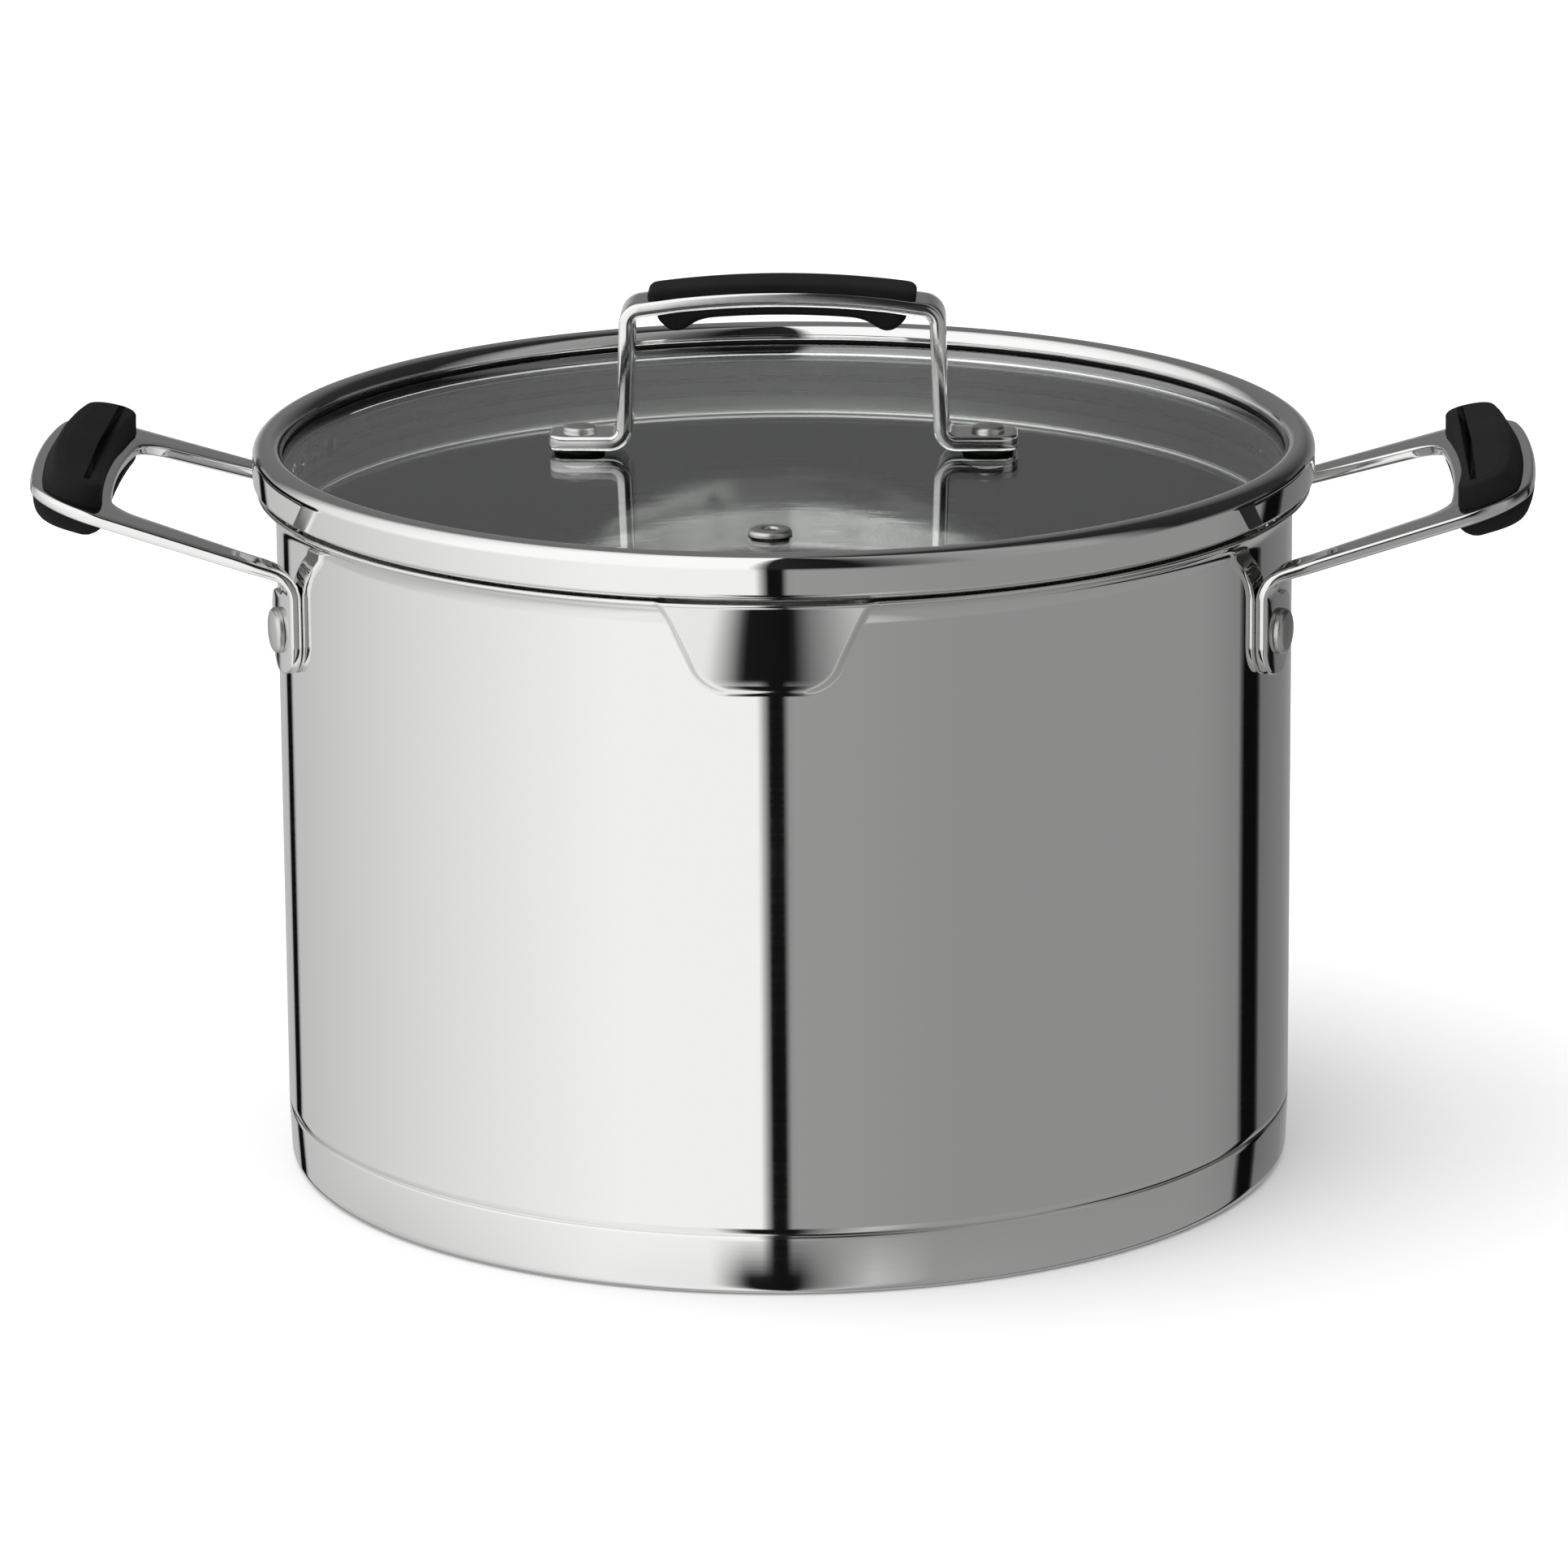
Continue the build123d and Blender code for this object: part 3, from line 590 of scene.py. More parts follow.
def strapEdges(size):
    # inner and outer outline of half the flat sheet as matching rows of (across, along)
    lowMiddle = (size["lugInner"] + size["outerHalfWall"]) / 2
    bottom, corner, shoulder = size["lugBottom"], size["lugCorner"], size["lugShoulder"]
    inHalf, outHalf = size["innerHalfWall"], size["outerHalfWall"]
    lugIn = [(lowMiddle - 2.0, bottom)]
    lugIn += arcPoints((size["lugInner"] + corner, bottom + corner), corner, -90, -180, 10)
    lugIn += arcPoints((size["lugInner"] + shoulder, size["lugTop"] - shoulder), shoulder, 180, 90, 8)
    lugIn += arcPoints((inHalf - 2.2, size["lugTop"] + 2.2), 2.2, -90, 0, 8)
    lugOut = [(lowMiddle + 2.0, bottom)]
    lugOut += arcPoints((outHalf - corner, bottom + corner), corner, -90, 0, 10)
    lugOut += [(outHalf, size["lugTop"] + 1.2)]
    def toSheetLug(points):
        return [(y, float(lugToSheet(size, z, y))) for y, z in points]
    def toSheetStrap(points):
        return [(y, float(strapToSheet(size, x, y))) for x, y in points]
    def strapLoop(wallHalf, half, tip, bulge, corner, room):
        # along the leg, round the corner and along the bulged end to its middle
        ends = [(tip - bulge * (y / half) ** 2, y) for y in np.linspace(half - corner * room, 0, 9)]
        points = [
            (strapWall(size, wallHalf) + 6, wallHalf), (size["straightTo"], wallHalf), (tip - bulge, half)
        ] + ends
        return filletPath(points, [40.0, corner] + [0.0] * 8, 14)
    innerLoop = strapLoop(
        inHalf, size["innerHalf"], size["fingerEnd"], size["fingerBulge"], size["innerCorner"], 1.25
    )
    outerLoop = strapLoop(
        outHalf, size["outerHalf"], size["reach"], size["bulge"], size["outerCorner"], 1.2
    )
    rows = []
    for lug, loop, half, room in (
        (lugIn, innerLoop, size["innerHalf"], size["innerCorner"] + 1),
        (lugOut, outerLoop, size["outerHalf"], size["outerCorner"] + 1),
    ):
        p = np.array(loop)
        first = int(np.argmax(p[:, 0] > size["straightTo"] + 5))
        last = int(np.argmax(p[:, 1] < half - room))
        parts = [
            resample(toSheetLug(lug), 44),
            resample([toSheetLug(lug[-1:])[0]] + toSheetStrap(loop[: first + 1]), 30)[1:],
            resample(toSheetStrap(loop[first: last + 1]), 40)[1:],
            resample(toSheetStrap(loop[last:]), 18)[1:],
        ]
        rows.append(np.concatenate(parts))
    return rows


def makeSideStrap(size, side, name, node):
    inner, outer = strapEdges(size)
    def mirrorRow(row):
        return row[::-1] * np.array([-1, 1])
    inner = np.concatenate([inner, mirrorRow(inner)[1:]])
    outer = np.concatenate([outer, mirrorRow(outer)[1:]])
    half, edge = size["thickness"] / 2, size["edge"]
    turns = np.radians((0, 22, 45, 67, 90))
    corner = [(edge * (1 - math.cos(a)), half - edge * (1 - math.sin(a))) for a in turns]
    rings = []
    count = len(inner)
    for i in range(count):
        width = max(float(np.linalg.norm(outer[i] - inner[i])), 0.1)
        near = [(min(a / width, 0.45), n) for a, n in corner]
        across = near + [(f, half) for f in (0.3, 0.5, 0.7)]
        across += [(1 - f, n) for f, n in near[::-1]]
        across += [(1 - f, -n) for f, n in near] + [(f, -half) for f in (0.7, 0.5, 0.3)]
        across += [(f, -n) for f, n in near[::-1]]
        fromEnd = min(i, count - 1 - i)
        thin = (0.45, 0.8, 0.95)[fromEnd] if fromEnd < 3 else 1
        f = np.array([a for a, _ in across])
        flat = inner[i] + (outer[i] - inner[i]) * f[:, None]
        rings.append(sheetToSpace(size, flat[:, 1], flat[:, 0], np.array([n * thin for _, n in across])))
    verts = [(side * x, y, z) for ring in rings for x, y, z in ring]
    around = len(rings[0])
    faces = gridFaces(len(rings), around, False, True)
    faces += [tuple(range(around)), tuple(range((count - 1) * around, count * around))]
    mesh = buildMesh(name, [(verts, faces)], sharp=60)
    return placePiece(name, mesh, [strapSteel], "pot", [node])


makeSideStrap(sideStrap, 1, "rightStrap", "right_handle")
makeSideStrap(sideStrap, -1, "leftStrap", "left_handle")
print("side straps made")


# side grips: pad above, belly below, moulded through the strap
sideGrip = {
    "inner": 157.3,
    "outer": 174.3,
    "half": 42.0,
    "height": 5.6,
    "scoop": 2.8,
    "innerCorner": 5.0,
    "outerCorner": 9.5,
    "edge": 1.3,
    "draft": 1.1,  # how far the sides lean in
    "crown": 0.3,
    "underInner": 156.2,
    "underOuter": 175.8,
    "underHalf": 37.5,
    "underDepth": 6.2,
    "underEnds": 0.92,  # depth at the two ends as a share
    "underScoop": 1.2,
}


def padOutline(inner, outer, half, scoop, bulge, innerCorner, outerCorner):
    # starts at the middle of the inner side; only the four corners are rounded
    def rows(corner):
        return [y for y in np.linspace(-half, half, 25) if abs(y) < half - corner * 1.35]
    innerSide = [(inner + scoop * (1 - (y / half) ** 2), y) for y in rows(innerCorner)]
    outerSide = [(outer - bulge * (y / half) ** 2, y) for y in rows(outerCorner)[::-1]]
    middle = len(innerSide) // 2
    turned = innerSide[middle:] + [(inner, half), (outer - bulge, half)] + outerSide
    turned += [(outer - bulge, -half), (inner, -half)] + innerSide[: middle + 1]
    def corner(x, y):
        if abs(abs(y) - half) > 1e-6:
            return 0.0
        return innerCorner if x < (inner + outer) / 2 else outerCorner
    radii = [corner(x, y) for x, y in turned[1:-1]]
    return np.array(spread(filletPath(turned, radii, 10), 2.0)[:-1])


def insetLoop(loop, inset):
    ahead = np.roll(loop, -1, 0) - np.roll(loop, 1, 0)
    ahead /= np.linalg.norm(ahead, axis=1)[:, None]
    inward = np.stack([ahead[:, 1], -ahead[:, 0]], 1)
    moved = loop + inward * inset
    if inset > 0 and abs(loopArea(moved)) > abs(loopArea(loop)):
        moved = loop - inward * inset
    return moved


def loopArea(loop):
    x, y = loop[:, 0], loop[:, 1]
    return 0.5 * float(np.sum(x * np.roll(y, -1) - y * np.roll(x, -1)))


def padShell(outline, layers, place):
    # closed stack of shrinking outlines; layers are (inset, lift)
    rings = [place(insetLoop(outline, inset) if inset else outline, lift) for inset, lift in layers]
    around = len(outline)
    verts = [tuple(v) for ring in rings for v in ring]
    faces = gridFaces(len(rings), around, False, True)
    faces += [tuple(range(around)), tuple(range((len(rings) - 1) * around, len(rings) * around))]
    return verts, faces


def makeSideGrip(size, strap, side, name, node):
    slope = math.radians(strap["slope"])
    half = strap["thickness"] / 2
    def onStrap(loop, lift):
        # loop is (distance from the pot's axis, across) on the strap's middle plane
        lifts = lift(loop) if callable(lift) else np.full(len(loop), lift)
        x = loop[:, 0] - np.sin(slope) * lifts
        z = strap["level"] + (loop[:, 0] - bodyRadius) * math.tan(slope) + np.cos(slope) * lifts
        return np.stack([side * x, loop[:, 1], z], 1)
    edge, height = size["edge"], size["height"]
    bends = (strap["bulge"], size["innerCorner"], size["outerCorner"])
    top = padOutline(size["inner"], size["outer"], size["half"], size["scoop"], *bends)
    draft = size["draft"]
    layers = [(0.5, half - 0.05), (0.15, half + 0.05), (0, half + 0.4), (draft, half + height - edge)]
    layers += [
        (
            draft + edge * (1 - math.cos(math.radians(a))),
            half + height - edge * (1 - math.sin(math.radians(a)))
        )
        for a in (15, 30, 45, 60, 75, 90)
    ]
    crown = half + height + size["crown"]
    layers += [(3.2, crown - size["crown"] * 0.4), (3.8, crown), (4.0, crown)]
    topShell = padShell(top, layers, onStrap)
    under = padOutline(
        size["underInner"], size["underOuter"], size["underHalf"], size["underScoop"], *bends
    )
    def hang(share):
        def lift(loop):
            ends = 1 - (1 - size["underEnds"]) * np.abs(loop[:, 1] / size["underHalf"]) ** 2.4
            return -half + 0.05 - size["underDepth"] * share * ends
        return lift
    underLayers = [(0.0, hang(0)), (0.0, hang(0.12)), (0.0, hang(0.3))]
    underLayers += [(inset, hang(share)) for inset, share in (
        (0.25, 0.45), (0.7, 0.6), (1.2, 0.73), (1.9, 0.84), (2.6, 0.93), (3.3, 0.98), (3.9, 1.0), (4.1, 1.0))]
    underShell = padShell(under, underLayers, onStrap)
    mesh = buildMesh(name, [topShell, underShell], sharp=50)
    return placePiece(name, mesh, [blackSilicone], "pot", [node])


makeSideGrip(sideGrip, sideStrap, 1, "rightGrip", "right_grip")
makeSideGrip(sideGrip, sideStrap, -1, "leftGrip", "left_grip")
print("side grips made")


# rivets: one turned rivet set in pairs by geometry nodes
def rivetMesh(name, size, length):
    # axis along +Z, its head's seat on z = 0
    head, headHeight, dome = size["head"], size["headHeight"], size["dome"]
    shank, tail, tailHeight = size["shank"], size["tail"], size["tailHeight"]
    profile = [(0, headHeight + dome)]
    edge = min(headHeight * 0.7, head * 0.3)
    flat = head - edge
    profile += [(flat * k / 4, headHeight + dome * (1 - (k / 4) ** 2)) for k in range(1, 5)]
    profile += arcPoints((flat, headHeight - edge), edge, 90, 0, 8)[1:]
    profile += [(head, 0.0), (shank, 0.0), (shank, -length), (tail, -length)]
    tailEdge = tailHeight * 0.5
    profile += arcPoints((tail - tailEdge, -length - tailEdge), tailEdge, 0, -90, 5)[1:]
    profile += [(0, -length - tailHeight)]
    return buildMesh(name, [turnedShell(profile, 56, False)], sharp=45)


def newTree(name, inputs):
    tree = bpy.data.node_groups.new(name, "GeometryNodeTree")
    tree.interface.new_socket(name="Geometry", in_out="INPUT", socket_type="NodeSocketGeometry")
    for label, kind, value in inputs:
        socket = tree.interface.new_socket(name=label, in_out="INPUT", socket_type=kind)
        socket.default_value = value
    tree.interface.new_socket(name="Geometry", in_out="OUTPUT", socket_type="NodeSocketGeometry")
    return tree, addNode(tree, "NodeGroupInput"), addNode(tree, "NodeGroupOutput")


def runTree(name, mesh, tree, values):
    # applies the tree to the mesh and gives back a plain mesh
    carrier = bpy.data.objects.new(name + "Carrier", mesh)
    bpy.context.scene.collection.objects.link(carrier)
    modifier = carrier.modifiers.new("nodes", "NODES")
    modifier.node_group = tree
    for item in tree.interface.items_tree:
        if item.in_out == "INPUT" and item.name in values:
            modifier[item.identifier] = values[item.name]
    bpy.context.view_layer.update()
    result = bpy.data.meshes.new_from_object(carrier.evaluated_get(bpy.context.evaluated_depsgraph_get()))
    result.name = name
    carrier.modifiers.clear()
    bpy.data.objects.remove(carrier)
    return result


def copiesAround(tree, given, angle, radius, piece):
    # copies of the piece stood on a circle about the axis, their own axes pointing outwards
    cosine = addNode(tree, "ShaderNodeMath", links={0: angle}, operation="COSINE")
    sine = addNode(tree, "ShaderNodeMath", links={0: angle}, operation="SINE")
    outward = addNode(tree, "ShaderNodeCombineXYZ", links={0: cosine.outputs[0], 1: sine.outputs[0]})
    onCircle = addNode(
        tree, "ShaderNodeVectorMath", links={0: outward.outputs[0], "Scale": radius}, operation="SCALE"
    )
    lift = addNode(tree, "ShaderNodeCombineXYZ", links={2: given.outputs["Level"]})
    spot = addNode(
        tree, "ShaderNodeVectorMath", links={0: onCircle.outputs[0], 1: lift.outputs[0]}, operation="ADD"
    )
    spots = addNode(tree, "GeometryNodePoints", links={"Count": given.outputs["Count"]})
    placed = addNode(
        tree, "GeometryNodeSetPosition", links={0: spots.outputs[0], "Position": spot.outputs[0]}
    )
    turned = addNode(
        tree, "FunctionNodeAlignRotationToVector", links={"Vector": outward.outputs[0]}, axis="Z"
    )
    copies = addNode(tree, "GeometryNodeInstanceOnPoints", links={
        "Points": placed.outputs[0],
        "Instance": piece,
        "Rotation": turned.outputs[0],
    })
    return addNode(tree, "GeometryNodeRealizeInstances", links={0: copies.outputs[0]})


def wallPairTree(name, material):
    # sets the incoming piece twice on the wall, to both sides of a middle direction
    tree, given, out = newTree(name, [
        ("Wall Radius", "NodeSocketFloat", 0.1),
        ("Half Angle", "NodeSocketFloat", 0.3),
        ("Middle", "NodeSocketFloat", 0.0),
        ("Level", "NodeSocketFloat", 0.1),
        ("Count", "NodeSocketInt", 2),
    ])
    start = addNode(
        tree, "ShaderNodeMath", links={0: given.outputs["Middle"], 1: given.outputs["Half Angle"]},
        operation="SUBTRACT"
    )
    sweep = addNode(
        tree, "ShaderNodeMath", {1: 2.0}, {0: given.outputs["Half Angle"]}, operation="MULTIPLY"
    )
    index = addNode(tree, "GeometryNodeInputIndex")
    last = addNode(tree, "ShaderNodeMath", {1: 1.0}, {0: given.outputs["Count"]}, operation="SUBTRACT")
    share = addNode(
        tree, "ShaderNodeMath", links={0: index.outputs[0], 1: last.outputs[0]}, operation="DIVIDE"
    )
    angle = addNode(
        tree, "ShaderNodeMath", links={0: share.outputs[0], 1: sweep.outputs[0], 2: start.outputs[0]},
        operation="MULTIPLY_ADD"
    )
    real = copiesAround(tree, given, angle.outputs[0], given.outputs["Wall Radius"], given.outputs[0])
    painted = addNode(tree, "GeometryNodeSetMaterial", {"Material": material}, {0: real.outputs[0]})
    tree.links.new(painted.outputs[0], out.inputs[0])
    return tree


sideRivet = {
    "head": 5.4,
    "headHeight": 1.9,
    "dome": 0.3,
    "shank": 2.5,
    "length": 3.6,
    "tail": 4.6,
    "tailHeight": 1.1,
    "across": 38.6,
    "level": 136.0,
    "seat": 122.8,  # from the axis to the strap's outer face
    "standOff": 2.7,  # from the wall out to where the distance across is taken
}
pairTree = wallPairTree("wallPair", rivetSteel)
for side, name, node in (
    (0.0, "rightRivets", "right_handle_rivets"), (math.pi, "leftRivets", "left_handle_rivets")
):
    one = rivetMesh("sideRivet", sideRivet, sideRivet["length"])
    pair = runTree(name, one, pairTree, {
        "Wall Radius": sideRivet["seat"] * mm,
        "Half Angle": math.asin(sideRivet["across"] / (bodyRadius + sideRivet["standOff"])),
        "Middle": side,
        "Level": sideRivet["level"] * mm,
        "Count": 2,
    })
    placePiece(name, pair, [rivetSteel], "pot", [node])
print("side rivets made")


# lid ring with its straining skirt
lidRing = {
    "sheet": 0.7,
    "lipRadius": 118.55,
    "lipGap": 0.5,
    "rollRise": 0.5,
    "bandBottom": 1.45,
    "seatInset": 1.9,
    "seatGap": 0.3,
    "skirtRadius": 117.65,
    "skirtDepth": 15.2,
    "bead": 0.9,
    "corner": 0.6,
    "holeDrop": 4.9,
    "coarseHole": 2.7, "coarseCount": 9, "coarsePitch": 4.9,
    "fineHole": 1.5, "fineCount": 13, "finePitch": 3.2,
}


def strainerTree(name):
    # drills a row of holes through the skirt with instanced drills
    tree, given, out = newTree(name, [
        ("Radius", "NodeSocketFloat", 0.1),
        ("Level", "NodeSocketFloat", 0.1),
        ("Middle", "NodeSocketFloat", 0.0),
        ("Pitch", "NodeSocketFloat", 0.1),
        ("Count", "NodeSocketInt", 9),
        ("Hole Radius", "NodeSocketFloat", 0.001),
    ])
    index = addNode(tree, "GeometryNodeInputIndex")
    last = addNode(tree, "ShaderNodeMath", {1: 1.0}, {0: given.outputs["Count"]}, operation="SUBTRACT")
    middle = addNode(tree, "ShaderNodeMath", {1: 0.5}, {0: last.outputs[0]}, operation="MULTIPLY")
    steps = addNode(
        tree, "ShaderNodeMath", links={0: index.outputs[0], 1: middle.outputs[0]}, operation="SUBTRACT"
    )
    angle = addNode(
        tree, "ShaderNodeMath",
        links={0: steps.outputs[0], 1: given.outputs["Pitch"], 2: given.outputs["Middle"]},
        operation="MULTIPLY_ADD",
    )
    drill = addNode(
        tree, "GeometryNodeMeshCylinder", {"Vertices": 32, "Depth": 5 * mm},
        {"Radius": given.outputs["Hole Radius"]}
    )
    real = copiesAround(tree, given, angle.outputs[0], given.outputs["Radius"], drill.outputs[0])
    cut = addNode(
        tree, "GeometryNodeMeshBoolean", links={0: given.outputs[0], 1: real.outputs[0]},
        operation="DIFFERENCE", solver="EXACT"
    )
    painted = addNode(tree, "GeometryNodeSetMaterial", {"Material": skirtSteel}, {0: cut.outputs[0]})
    tree.links.new(painted.outputs[0], out.inputs[0])
    return tree


def makeLidRing(size):
    band = ringRadius - size["sheet"] / 2
    roll = (band - size["lipRadius"]) / 2
    rollLevel = glassTop + size["lipGap"] + size["rollRise"]
    low = lipLevel + size["bandBottom"] + size["sheet"] / 2
    seat = lipLevel + size["seatGap"] + size["sheet"] / 2
    path = [(size["lipRadius"], glassTop + size["lipGap"] + size["sheet"] / 2)]
    path += arcPoints((size["lipRadius"] + roll, rollLevel), roll, 180, 0, 26)
    path += filletPath(
        [(band, rollLevel), (band, low), (band - size["seatInset"], low), (band - size["seatInset"], seat),
         (size["skirtRadius"], seat), (size["skirtRadius"], seat - 2)],
        [size["corner"]] * 4, 8,
    )[1:]
    bottom = lipLevel - size["skirtDepth"] + size["bead"]
    rows = [lipLevel - 1.4, lipLevel - size["holeDrop"] - 3.6, bottom + 1.2]
    path += [(size["skirtRadius"], z) for z in rows]
    path += arcPoints((size["skirtRadius"] - 0.35, bottom - 0.1), 0.55, 40, -230, 14)
    outline = sheetOutline(path, size["sheet"])
    mesh = buildMesh("lidRing", [turnedShell(outline, 360, True)], sharp=50)
    tree = strainerTree("strainerHoles")
    for middle, count, pitch, hole in (
        (math.pi, size["coarseCount"], size["coarsePitch"], size["coarseHole"]),
        (0.0, size["fineCount"], size["finePitch"], size["fineHole"]),
    ):
        mesh = runTree("lidRing", mesh, tree, {
            "Radius": size["skirtRadius"] * mm,
            "Level": (lipLevel - size["holeDrop"]) * mm,
            "Middle": middle,
            "Pitch": math.radians(pitch),
            "Count": count,
            "Hole Radius": hole * mm,
        })
    mesh.shade_smooth()
    mesh.set_sharp_from_angle(angle=math.radians(50))
    piece = placePiece("lidRing", mesh, [ringSteel, skirtSteel], "lid", ["lid_rim"])
    skirtEdge = (size["skirtRadius"] + 1.4) * mm
    for polygon in mesh.polygons:
        c = polygon.center
        polygon.material_index = 1 if math.hypot(c.x, c.y) < skirtEdge and c.z < (seat - 0.6) * mm else 0
    return piece


makeLidRing(lidRing)
print("lid ring made")


# lid handle: strap on two feet with an arched bar
lidStrap = {
    "half": 55.4,
    "legFoot": 37.4,
    "legTop": 36.4,
    "rise": 37.3,  # glass to the bar's middle
    "arch": 3.0,
    "thickness": 3.6,
    "width": 13.6,
    "edge": 0.8,
    "footGap": 0.9,
    "footBend": 3.6,
    "topBend": 3.6,
    "footCorner": 4.5,
}


def archLevel(size, x):
    radius = (size["legTop"] ** 2 + size["arch"] ** 2) / (2 * size["arch"])
    return glassTop + size["rise"] - radius + math.sqrt(radius**2 - x**2)


def sweepBar(stations, sections):
    # stations are (x, z, nx, nz); sections give closed loops of (across, lift) at each station
    verts = []
    for (x, z, nx, nz), section in zip(stations, sections):
        verts += [(x + nx * lift, across, z + nz * lift) for across, lift in section]
    around = len(sections[0])
    faces = gridFaces(len(stations), around, False, True)
    faces += [tuple(range(around)), tuple(range((len(stations) - 1) * around, len(stations) * around))]
    return verts, faces


def roundedSection(half, low, high, edgeLow, edgeHigh, steps=5):
    # closed outline of a bar: across from -half to half, lift from low to high
    room = min(half * 0.95, (high - low) * 0.49)
    edgeLow, edgeHigh = min(edgeLow, room), min(edgeHigh, room)
    loop = arcPoints((half - edgeHigh, high - edgeHigh), edgeHigh, 0, 90, steps)
    loop += [((half - edgeHigh) * f, high) for f in (0.5, 0.0, -0.5)]
    loop += arcPoints((-half + edgeHigh, high - edgeHigh), edgeHigh, 90, 180, steps)
    loop += arcPoints((-half + edgeLow, low + edgeLow), edgeLow, 180, 270, steps)
    loop += [((half - edgeLow) * f, low) for f in (-0.5, 0.0, 0.5)]
    loop += arcPoints((half - edgeLow, low + edgeLow), edgeLow, 270, 360, steps)
    return loop


def pathStations(path):
    p = np.array(path, float)
    along = np.gradient(p, axis=0)
    along /= np.linalg.norm(along, axis=1)[:, None]
    return [(x, z, -tz, tx) for (x, z), (tx, tz) in zip(p, along)]


def makeLidStrap(size):
    foot = glassTop + size["footGap"] + size["thickness"] / 2
    bar = [(x, archLevel(size, x)) for x in np.linspace(-size["legTop"], size["legTop"], 25)]
    bendRoom = 4  # points of the bar that the top bend takes up
    corners = [(-size["half"], foot), (-size["legFoot"], foot), bar[0], bar[bendRoom]]
    leg = filletPath(corners, [size["footBend"], size["topBend"]], 12)[1:-1]
    corner = size["footCorner"]
    endSteps = [corner * (1 - math.cos(math.radians(a))) for a in (0, 4, 10, 18, 28, 40, 52, 66, 80, 90)]
    start = [(-size["half"] + d, foot) for d in endSteps]
    left = start + leg
    path = left + bar[bendRoom:-bendRoom] + [(-x, z) for x, z in left][::-1]
    stations = pathStations(path)
    half, thick = size["width"] / 2, size["thickness"] / 2
    sections = []
    for x, z in path:
        inside = size["half"] - abs(x)
        narrow = corner - math.sqrt(max(corner**2 - max(corner - inside, 0) ** 2, 0)) if z < foot + 1 else 0
        thin = 0.45 + 0.55 * min(1, math.sqrt(max(inside, 0) / 0.8)) if z < foot + 1 else 1
        sections.append(
            roundedSection(half - narrow, -thick * thin, thick * thin, size["edge"], size["edge"])
        )
    mesh = buildMesh("lidStrap", [sweepBar(stations, sections)], sharp=60)
    return placePiece("lidStrap", mesh, [strapSteel], "lid", ["lid_handle"])


makeLidStrap(lidStrap)
print("lid strap made")


# lid grip: pad on the bar, finger swell under it
lidGrip = {
    "half": 31.2,
    "width": 12.4,
    "height": 2.3,
    "underHalf": 29.6,
    "underHeight": 2.0,
    "lobeAt": 25.0,
    "lobe": 2.5,  # more than the middle
    "lobeReach": 6.2,
    "edge": 1.5,
}


def makeLidGrip(size, strap):
    radius = (strap["legTop"] ** 2 + strap["arch"] ** 2) / (2 * strap["arch"])
    centre = glassTop + strap["rise"] - radius
    thick = strap["thickness"] / 2
    def stationsFor(half, count):
        steps = np.sin(np.linspace(-math.pi / 2, math.pi / 2, count)) * half
        made = []
        for x in steps:
            a = math.asin(x / radius)
            made.append((x, centre + radius * math.cos(a), math.sin(a), math.cos(a)))
        return steps, made
    steps, stations = stationsFor(size["half"], 41)
    topSections = []
    for x in steps:
        left = size["half"] - abs(x)
        fade = math.sqrt(max(1 - max(1 - left / 2.2, 0) ** 2, 0)) * 0.92 + 0.08
        half = size["width"] / 2 - 1.9 * (1 - fade)
        top = thick + size["height"] * (0.25 + 0.75 * fade)
        topSections.append(roundedSection(half, thick - 0.1, top, 0.3, size["edge"]))
    underSteps, underStations = stationsFor(size["underHalf"], 61)
    underSections = []
    for x in underSteps:
        left = size["underHalf"] - abs(x)
        fade = math.sqrt(max(1 - max(1 - left / 3.0, 0) ** 2, 0)) * 0.92 + 0.08
        swell = math.exp(-((abs(x) - size["lobeAt"]) / size["lobeReach"] * 1.5) ** 2)
        depth = (size["underHeight"] + size["lobe"] * swell) * fade
        half = size["width"] / 2 - 1.9 * (1 - fade)
        underSections.append(roundedSection(half, -thick - depth, -thick + 0.1, size["edge"], 0.3))
    mesh = buildMesh(
        "lidGrip", [sweepBar(stations, topSections), sweepBar(underStations, underSections)], sharp=50
    )
    return placePiece("lidGrip", mesh, [blackSilicone], "lid", ["lid_grip"])


makeLidGrip(lidGrip, lidStrap)
print("lid grip made")


# lid rivets, gaskets and vent
lidRivet = {
    "head": 3.9,
    "headHeight": 1.3,
    "dome": 0.5,
    "shank": 2.5,
    "tail": 3.9,
    "tailHeight": 1.2,
    "across": 48.2,
}


def facingPairTree(name, material):
    # sets the incoming piece at plus and minus a distance along X
    tree, given, out = newTree(
        name, [("Across", "NodeSocketFloat", 0.05), ("Level", "NodeSocketFloat", 0.1)]
    )
    back = addNode(tree, "ShaderNodeMath", {1: -1.0}, {0: given.outputs["Across"]}, operation="MULTIPLY")
    first = addNode(tree, "ShaderNodeCombineXYZ", links={0: back.outputs[0], 2: given.outputs["Level"]})
    second = addNode(
        tree, "ShaderNodeCombineXYZ", links={0: given.outputs["Across"], 2: given.outputs["Level"]}
    )
    line = addNode(
        tree, "GeometryNodeMeshLine", {"Count": 2},
        {"Start Location": first.outputs[0], "Offset": second.outputs[0]},
        mode="END_POINTS",
    )
    copies = addNode(
        tree, "GeometryNodeInstanceOnPoints",
        links={"Points": line.outputs[0], "Instance": given.outputs[0]}
    )
    real = addNode(tree, "GeometryNodeRealizeInstances", links={0: copies.outputs[0]})
    painted = addNode(tree, "GeometryNodeSetMaterial", {"Material": material}, {0: real.outputs[0]})
    tree.links.new(painted.outputs[0], out.inputs[0])
    return tree


